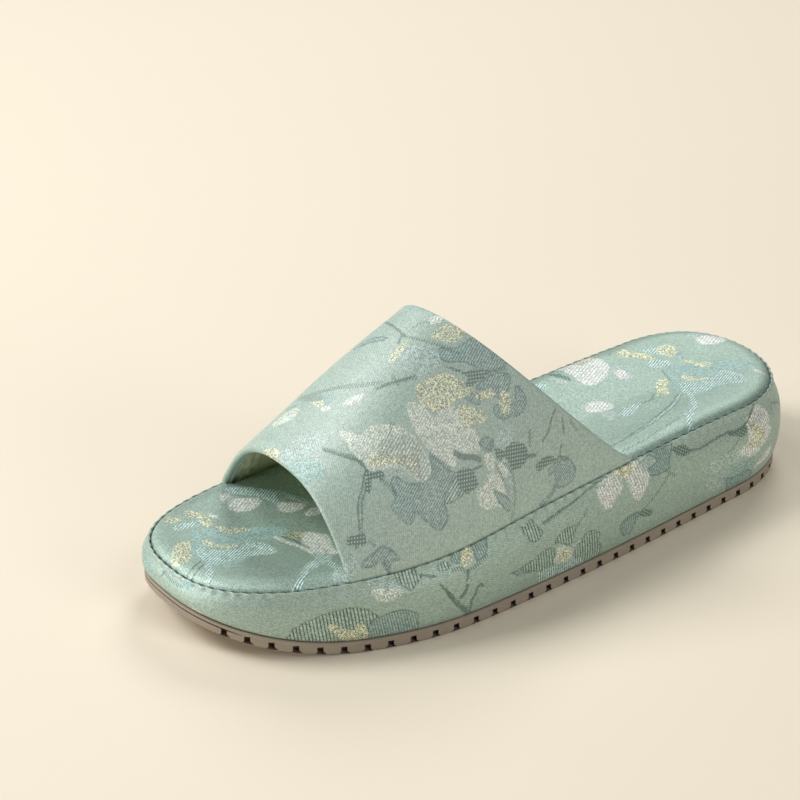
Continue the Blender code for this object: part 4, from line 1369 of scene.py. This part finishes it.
def hem(start, finish, edge, behind):
    """Rounded edge from one face to the other, standing out past the edge of the outer face."""
    lead = edge - behind
    lead /= np.linalg.norm(lead, axis=1, keepdims=True)
    middle, half = (start + finish) / 2.0, (start - finish) / 2.0
    return [
        middle + half * math.cos(turn) + lead * hem_radius * math.sin(turn)
        for turn in np.linspace(0.0, np.pi, HEM_STEPS + 2)[1:-1]
    ]


def hem_cloth(edge_uv, past):
    """Coordinates of the cloth round a hem, each row further past the edge."""
    return edge_uv[None] + np.column_stack([np.zeros(HEM_STEPS), past])[:, None]


band_points = np.stack([
    *soft_face,
    *hem(soft_face[-1], inner_face[0], soft_face[-1], soft_face[-3]),
    *inner_face,
    *hem(inner_face[-1], soft_face[0], soft_face[0], soft_face[2]),
    soft_face[0],
])
band_uv = np.concatenate([
    outer_uv,
    hem_cloth(outer_uv[-1], HEM_CLOTH),
    inner_uv,
    hem_cloth(outer_uv[0], -HEM_CLOTH[::-1]),
    outer_uv[:1],
])
down = np.array([0.0, 0.0, BAND_FOOT_RISE])
band_points = np.concatenate([band_points[:, :1] - down, band_points, band_points[:, -1:] - down], axis=1)
out = np.array([BAND_FOOT_RISE, 0.0])
band_uv = np.concatenate([band_uv[:, :1] + out, band_uv, band_uv[:, -1:] - out], axis=1)
band = lay_grid("brocade_band", band_points)
shapes, lines = (
    [*rows, *moved(rows, BAND_SHIFT_OVER, BAND_SHIFT_ALONG, lambda u, v: u < BAND_DRAWN_FROM)]
    for rows in (BAND_SHAPES, BAND_LINES)
)
weave_into(band, shapes, lines, band_uv[..., 0], band_uv[..., 1], BAND_GRAIN)
first_inner = BAND_ROWS_OUTER + 1 + HEM_STEPS
past_hem = np.minimum(from_hem[:-1], from_hem[1:]) > LINING_START
lined = np.zeros((len(band_points) - 1, band_points.shape[1] - 1), dtype=np.int32)
lined[first_inner : first_inner + len(past_hem)] = past_hem[:, None]
band.data.polygons.foreach_set("material_index", lined.ravel())
close_piece(band)
lining, tree, coat = new_material("satin_lining", 0.5)
crush = noise(tree, own_place(tree), 160.0, 3.0)
tone = mix_colour(tree, crush, colour(224, 228, 194), colour(236, 240, 212))
tree.links.new(tone, coat.inputs["Base Color"])
roughen(tree, coat, crush, 0.5, 0.0008)
band.data.materials.append(brocade_material("band_brocade", 0.05, 0.05))
band.data.materials.append(lining)
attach(band, "root")
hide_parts("upper")

# Seam: a row of small pulled-in stitches of dark green thread that joins the platform's cover to
# the insole and to the feet of the band, all round the top edge.
STITCH_LENGTH = 2.8
STITCH_THICKNESS = 0.5
STITCH_SLANT = math.radians(15.0)
STITCH_INSET = SEAM_INSET + 0.35
STITCH_DROP = 0.26
STITCH_BOW = 0.28
edge, edge_normal, walked = sole_loop(2 * COVER_STATIONS)
bpy.ops.object.select_all(action="DESELECT")
bpy.ops.mesh.primitive_uv_sphere_add(segments=6, ring_count=5, radius=0.5)
stitch = bpy.context.object
stitch.scale = (STITCH_THICKNESS, STITCH_THICKNESS, STITCH_LENGTH)
bpy.ops.object.transform_apply(location=False, rotation=False, scale=True)
stitch_points, stitch_faces = taken_apart(stitch)
seam = []
for place in np.arange(0.0, walked[-1] - 0.5 * STITCH_PITCH, STITCH_PITCH):
    x, y, facing_x, facing_y = (np.interp(place, walked, track) for track in (*edge.T, *edge_normal.T))
    facing = np.array([facing_x, facing_y])
    run = np.array([-facing_y, facing_x]) * math.cos(STITCH_SLANT) + facing * math.sin(STITCH_SLANT)
    side = np.array([run[1], -run[0]])
    middle = np.array([x, y]) - facing * STITCH_INSET
    plan = middle + stitch_points[:, 2:3] * run + stitch_points[:, 0:1] * side
    bow = STITCH_BOW * (2.0 * stitch_points[:, 2] / STITCH_LENGTH) ** 2
    height = seam_height(y) - STITCH_DROP + stitch_points[:, 1] - bow
    seam.append(np.column_stack([plan, height]))
stitch_mesh = joined_copies("seam_stitches", seam, stitch_faces)
stitch_mesh.shade_smooth()
stitches = bpy.data.objects.new("seam_stitches", stitch_mesh)
bpy.context.collection.objects.link(stitches)
thread, tree, coat = new_material("seam_thread", 0.6)
ply = noise(tree, own_place(tree), 1800.0, 2.0)
tone = mix_colour(tree, ply, colour(62, 86, 78), colour(92, 116, 106))
tree.links.new(tone, coat.inputs["Base Color"])
stitches.data.materials.append(thread)
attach(stitches, "root")

# Stage: a plain cream floor, soft light from the upper left and a little behind, and the camera
# where the photograph was taken.
FLOOR_SIZE = 12.0
bpy.ops.object.select_all(action="DESELECT")
bpy.ops.mesh.primitive_plane_add(size=FLOOR_SIZE, location=(0.0, 0.0, 0.0))
floor = bpy.context.object
floor.name = "floor"
cream, tree, coat = new_material("cream_floor", 0.85)
cast = noise(tree, own_place(tree), 1.5, 2.0)
tone = mix_colour(tree, cast, colour(240, 229, 208), colour(244, 233, 213))
tree.links.new(tone, coat.inputs["Base Color"])
coat.inputs["Specular IOR Level"].default_value = 0.1
floor.data.materials.append(cream)

VIEW_AZIMUTH = math.radians(55.192)
VIEW_ELEVATION = math.radians(27.98)
VIEW_ROLL = math.radians(-0.692)
VIEW_DISTANCE = 981.99
VIEW_TARGET = np.array([-42.46, -8.14, 37.53])
VIEW_LENS = 117.0
SENSOR_WIDTH = 36.0
back = np.array([
    math.sin(VIEW_AZIMUTH) * math.cos(VIEW_ELEVATION),
    -math.cos(VIEW_AZIMUTH) * math.cos(VIEW_ELEVATION),
    math.sin(VIEW_ELEVATION),
])
right = np.array([math.cos(VIEW_AZIMUTH), math.sin(VIEW_AZIMUTH), 0.0])
up = np.cross(back, right)
rolled_right = right * math.cos(VIEW_ROLL) + up * math.sin(VIEW_ROLL)
rolled_up = up * math.cos(VIEW_ROLL) - right * math.sin(VIEW_ROLL)
eye = (VIEW_TARGET + SHOE_SHIFT + back * VIEW_DISTANCE) * MM
camera_data = bpy.data.cameras.new("camera")
camera_data.lens = VIEW_LENS
camera_data.sensor_width = SENSOR_WIDTH
camera = bpy.data.objects.new("camera", camera_data)
bpy.context.collection.objects.link(camera)
placing = np.eye(4)
placing[:3, 0], placing[:3, 1], placing[:3, 2], placing[:3, 3] = rolled_right, rolled_up, back, eye
camera.matrix_world = Matrix(placing.tolist())
bpy.context.scene.camera = camera

LIGHT_DISTANCE = 1.6
LIGHTS = (
    ("key", 264.0, 44.0, 0.7, 14.6),
    ("low_left", 287.0, 8.0, 0.4, 8.5),
    ("back_left", 235.0, 60.0, 0.7, 2.2),
    ("back_top", 165.0, 45.0, 0.7, 8.4),
    ("top", 312.0, 66.0, 0.7, 1.4),
    ("fill", 36.0, 48.0, 0.7, 4.7),
    ("low_fill", 47.0, 22.0, 0.7, 5.6),
    ("rim", 220.0, 15.0, 0.7, 2.3),
)
to_camera = np.array([math.sin(VIEW_AZIMUTH), -math.cos(VIEW_AZIMUTH), 0.0])
for name, round_from_camera, height, size, power in LIGHTS:
    lamp = bpy.data.lights.new(name, "AREA")
    lamp.shape = "DISK"
    lamp.size = size
    lamp.energy = power
    light = bpy.data.objects.new(name, lamp)
    bpy.context.collection.objects.link(light)
    turned, raised = math.radians(round_from_camera), math.radians(height)
    away = (to_camera * math.cos(turned) + right * math.sin(turned)) * math.cos(raised)
    away[2] = math.sin(raised)
    light.location = away * LIGHT_DISTANCE
    light.rotation_euler = (math.acos(away[2]), 0.0, math.atan2(away[0], -away[1]))
world = bpy.data.worlds.new("studio")
world.use_nodes = True
world.node_tree.nodes["Background"].inputs["Color"].default_value = colour(250, 244, 232)
world.node_tree.nodes["Background"].inputs["Strength"].default_value = 0.01
bpy.context.scene.world = world
bpy.context.scene.view_settings.view_transform = "Standard"

bpy.context.view_layer.update()
